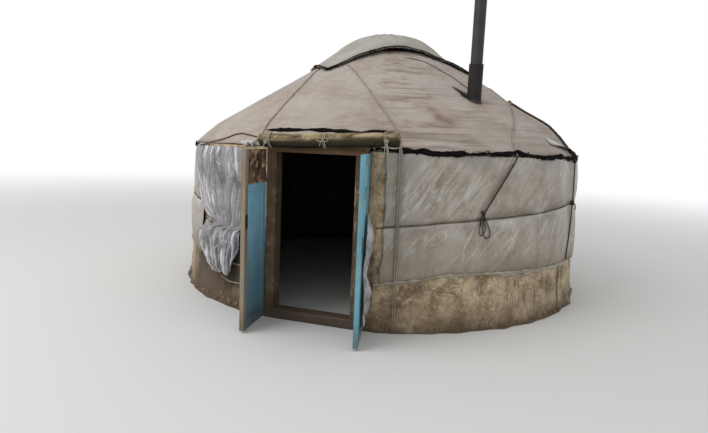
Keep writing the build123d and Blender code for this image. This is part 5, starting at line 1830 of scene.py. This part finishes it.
def scatterTree(name, kind, values):
    tree = bpy.data.node_groups.new(name, "GeometryNodeTree")
    face = tree.interface
    face.new_socket(name="Places", in_out="INPUT", socket_type="NodeSocketGeometry")
    for label in ("Length", "Thickness", "Spread", "Seed"):
        socket = "NodeSocketInt" if label == "Seed" else "NodeSocketFloat"
        face.new_socket(name=label, in_out="INPUT", socket_type=socket).default_value = values[label.lower()]
    face.new_socket(name="Finish", in_out="INPUT", socket_type="NodeSocketMaterial")
    face.new_socket(name="Pieces", in_out="OUTPUT", socket_type="NodeSocketGeometry")
    given, result = makeNode(tree, "NodeGroupInput").outputs, makeNode(tree, "NodeGroupOutput").inputs
    points = makeNode(tree, "GeometryNodeMeshToPoints", {"Mesh": given["Places"]})
    if kind == "tuft":
        shape = makeNode(tree, "GeometryNodeMeshCone", {
            "Vertices": 5, "Side Segments": 2, "Radius Top": 0.0005, "Radius Bottom": given["Thickness"],
            "Depth": given["Length"]})
    else:
        shape = makeNode(tree, "GeometryNodeMeshIcoSphere", {"Radius": given["Thickness"], "Subdivisions": 1})
    facing = makeNode(tree, "GeometryNodeInputNamedAttribute", {"Name": "facing"}, data_type="FLOAT_VECTOR")
    low, high = (vectorMaths(tree, "SCALE", (sign, sign, sign), given["Spread"]) for sign in (-1.0, 1.0))
    jitter = makeNode(tree, "FunctionNodeRandomValue", data_type="FLOAT_VECTOR")
    for label, socket in (("Min", low), ("Max", high), ("Seed", given["Seed"])):
        tree.links.new(socket, jitter.inputs[label])
    aimed = vectorMaths(tree, "ADD", facing.outputs["Attribute"], jitter.outputs["Value"])
    turn = makeNode(tree, "FunctionNodeAlignRotationToVector", {"Vector": aimed}, axis="Z")
    size = makeNode(tree, "GeometryNodeInputNamedAttribute", {"Name": "size"}, data_type="FLOAT")
    placed = makeNode(tree, "GeometryNodeInstanceOnPoints", {
        "Points": points.outputs["Points"], "Instance": shape.outputs["Mesh"],
        "Rotation": turn.outputs["Rotation"], "Scale": size.outputs["Attribute"]})
    real = makeNode(tree, "GeometryNodeRealizeInstances", {"Geometry": placed.outputs["Instances"]})
    smooth = makeNode(tree, "GeometryNodeSetShadeSmooth", {"Geometry": real.outputs["Geometry"]})
    done = makeNode(tree, "GeometryNodeSetMaterial", {"Geometry": smooth.outputs["Geometry"],
                                                      "Material": given["Finish"]})
    tree.links.new(done.outputs["Geometry"], result["Pieces"])
    return tree


def scatterPiece(name, kind, places, facings, sizes, look, values):
    base = newPiece(name + "Places", places, [], None, {"size": sizes})
    field = base.data.attributes.new("facing", "FLOAT_VECTOR", "POINT")
    field.data.foreach_set("vector", np.asarray(facings, np.float32).ravel())
    tree = scatterTree(name, kind, values)
    live = base.modifiers.new(name, "NODES")
    live.node_group = tree
    known = {item.name: item.identifier for item in tree.interface.items_tree if item.in_out == "INPUT"}
    for label in ("Length", "Thickness", "Spread", "Seed"):
        live[known[label]] = values[label.lower()]
    live[known["Finish"]] = looks[look]
    bpy.context.view_layer.update()
    mesh = bpy.data.meshes.new_from_object(base.evaluated_get(bpy.context.evaluated_depsgraph_get()))
    mesh.name = name
    piece = bpy.data.objects.new(name, mesh)
    bpy.context.scene.collection.objects.link(piece)
    bpy.data.objects.remove(base)
    if not mesh.materials:
        mesh.materials.append(looks[look])
    return piece


tufts = {
    "eave": {"length": 0.026, "thickness": 0.0042, "spread": 0.75, "seed": 5, "count": 900,
             "between": (18.8, 316.5), "below": 0.7, "reach": (0.008, 0.018)},
    "crown": {"length": 0.026, "thickness": 0.0045, "spread": 0.8, "seed": 7, "count": 420, "reach": 0.012},
    "foot": {"length": 0.03, "thickness": 0.011, "spread": 0.9, "seed": 8, "count": 520,
             "between": (13.0, 347.0), "height": 0.03, "least": 0.022},
    "sizes": (0.5, 1.4),
}


def makeTufts(values):
    eave, crown, foot = values["eave"], values["crown"], values["foot"]
    chance = np.random.default_rng(eave["seed"])
    count = eave["count"]
    a = chance.uniform(*eave["between"], count)
    edge = np.where(chance.uniform(size=count) < eave["below"], -1.0, 1.0)
    radius, z = hemPlace(a, 0.01)
    places = polar(radius, a, z + edge * chance.uniform(*eave["reach"], count))
    along = np.cross([0, 0, 1.0], outwards(a))
    facings = along * chance.uniform(-0.9, 0.9, count)[:, None] + outwards(a) * 0.25
    facings[:, 2] += edge * 0.8
    sizes = chance.uniform(*values["sizes"], count)
    finishPiece(scatterPiece("eaveTufts", "tuft", places, facings, sizes, "blackFelt", eave), "felt_hem")

    t = chance.uniform(-1, 1, crown["count"])
    which = chance.integers(0, 4, len(t))
    u = np.choose(which, [t, 1 + 0 * t, -t, -1 + 0 * t])
    v = np.choose(which, [-1 + 0 * t, t, 1 + 0 * t, -t])
    places = coverPoint(u, v, 0.002)
    facings = places - coverPoint(u * 0.97, v * 0.97, 0.002)
    facings /= np.linalg.norm(facings, axis=1)[:, None]
    places = places + facings * crown["reach"]
    sizes = chance.uniform(*values["sizes"], len(t))
    finishPiece(scatterPiece("crownTufts", "tuft", places, facings, sizes, "blackFelt", crown), "felt_hem")

    a = chance.uniform(*foot["between"], foot["count"])
    z = np.abs(chance.normal(0.0, foot["height"], len(a))) + foot["least"]
    places = wallPoint(a, z, feltOut(a, z) + 0.002)
    sizes = chance.uniform(0.5, 1.7, len(a)) ** 1.3
    finishPiece(scatterPiece("footScraps", "scrap", places, outwards(a), sizes, "tanFelt", foot), "wall_felt")


makeTufts(tufts)
print("tufts and scraps set out")


# CAD nodes that keep their shape get their finish

nodeLooks = {
    "redPole": ("roof_poles",),
    "redLath": ("lattice_wall",),
    "crownWood": ("crown_ring", "crown_braces"),
    "postWood": ("door_post_left",),
    "wornPost": ("door_post_right",),
    "lintelWood": ("lintel",),
    "sillWood": ("threshold",),
    "paleSteel": ("stovepipe_upper",),
    "sootySteel": ("stovepipe",),
    "leftLeafFrame": ("left_leaf_frame",),
    "blueStile": ("right_leaf_frame",),
    "sunlitBlue": ("left_leaf_boards",),
    "bluePaint": ("right_leaf_boards", "right_leaf_upper_panel"),
    "stainedBoard": ("left_leaf_upper_panel",),
    "wroughtSteel": ("left_leaf_hinges", "right_leaf_hinges", "left_post_hinges", "right_post_hinges",
                     "left_leaf_lock_plate", "right_leaf_lock_plate"),
}
for name, node in nodes.items():
    if node.hide_render:
        continue
    look = next((look for look, starts in nodeLooks.items() if name.startswith(starts)), None)
    if look:
        node.data.materials.clear()
        node.data.materials.append(looks[look])
    else:
        print("no finish for", name)
print("frame finished")
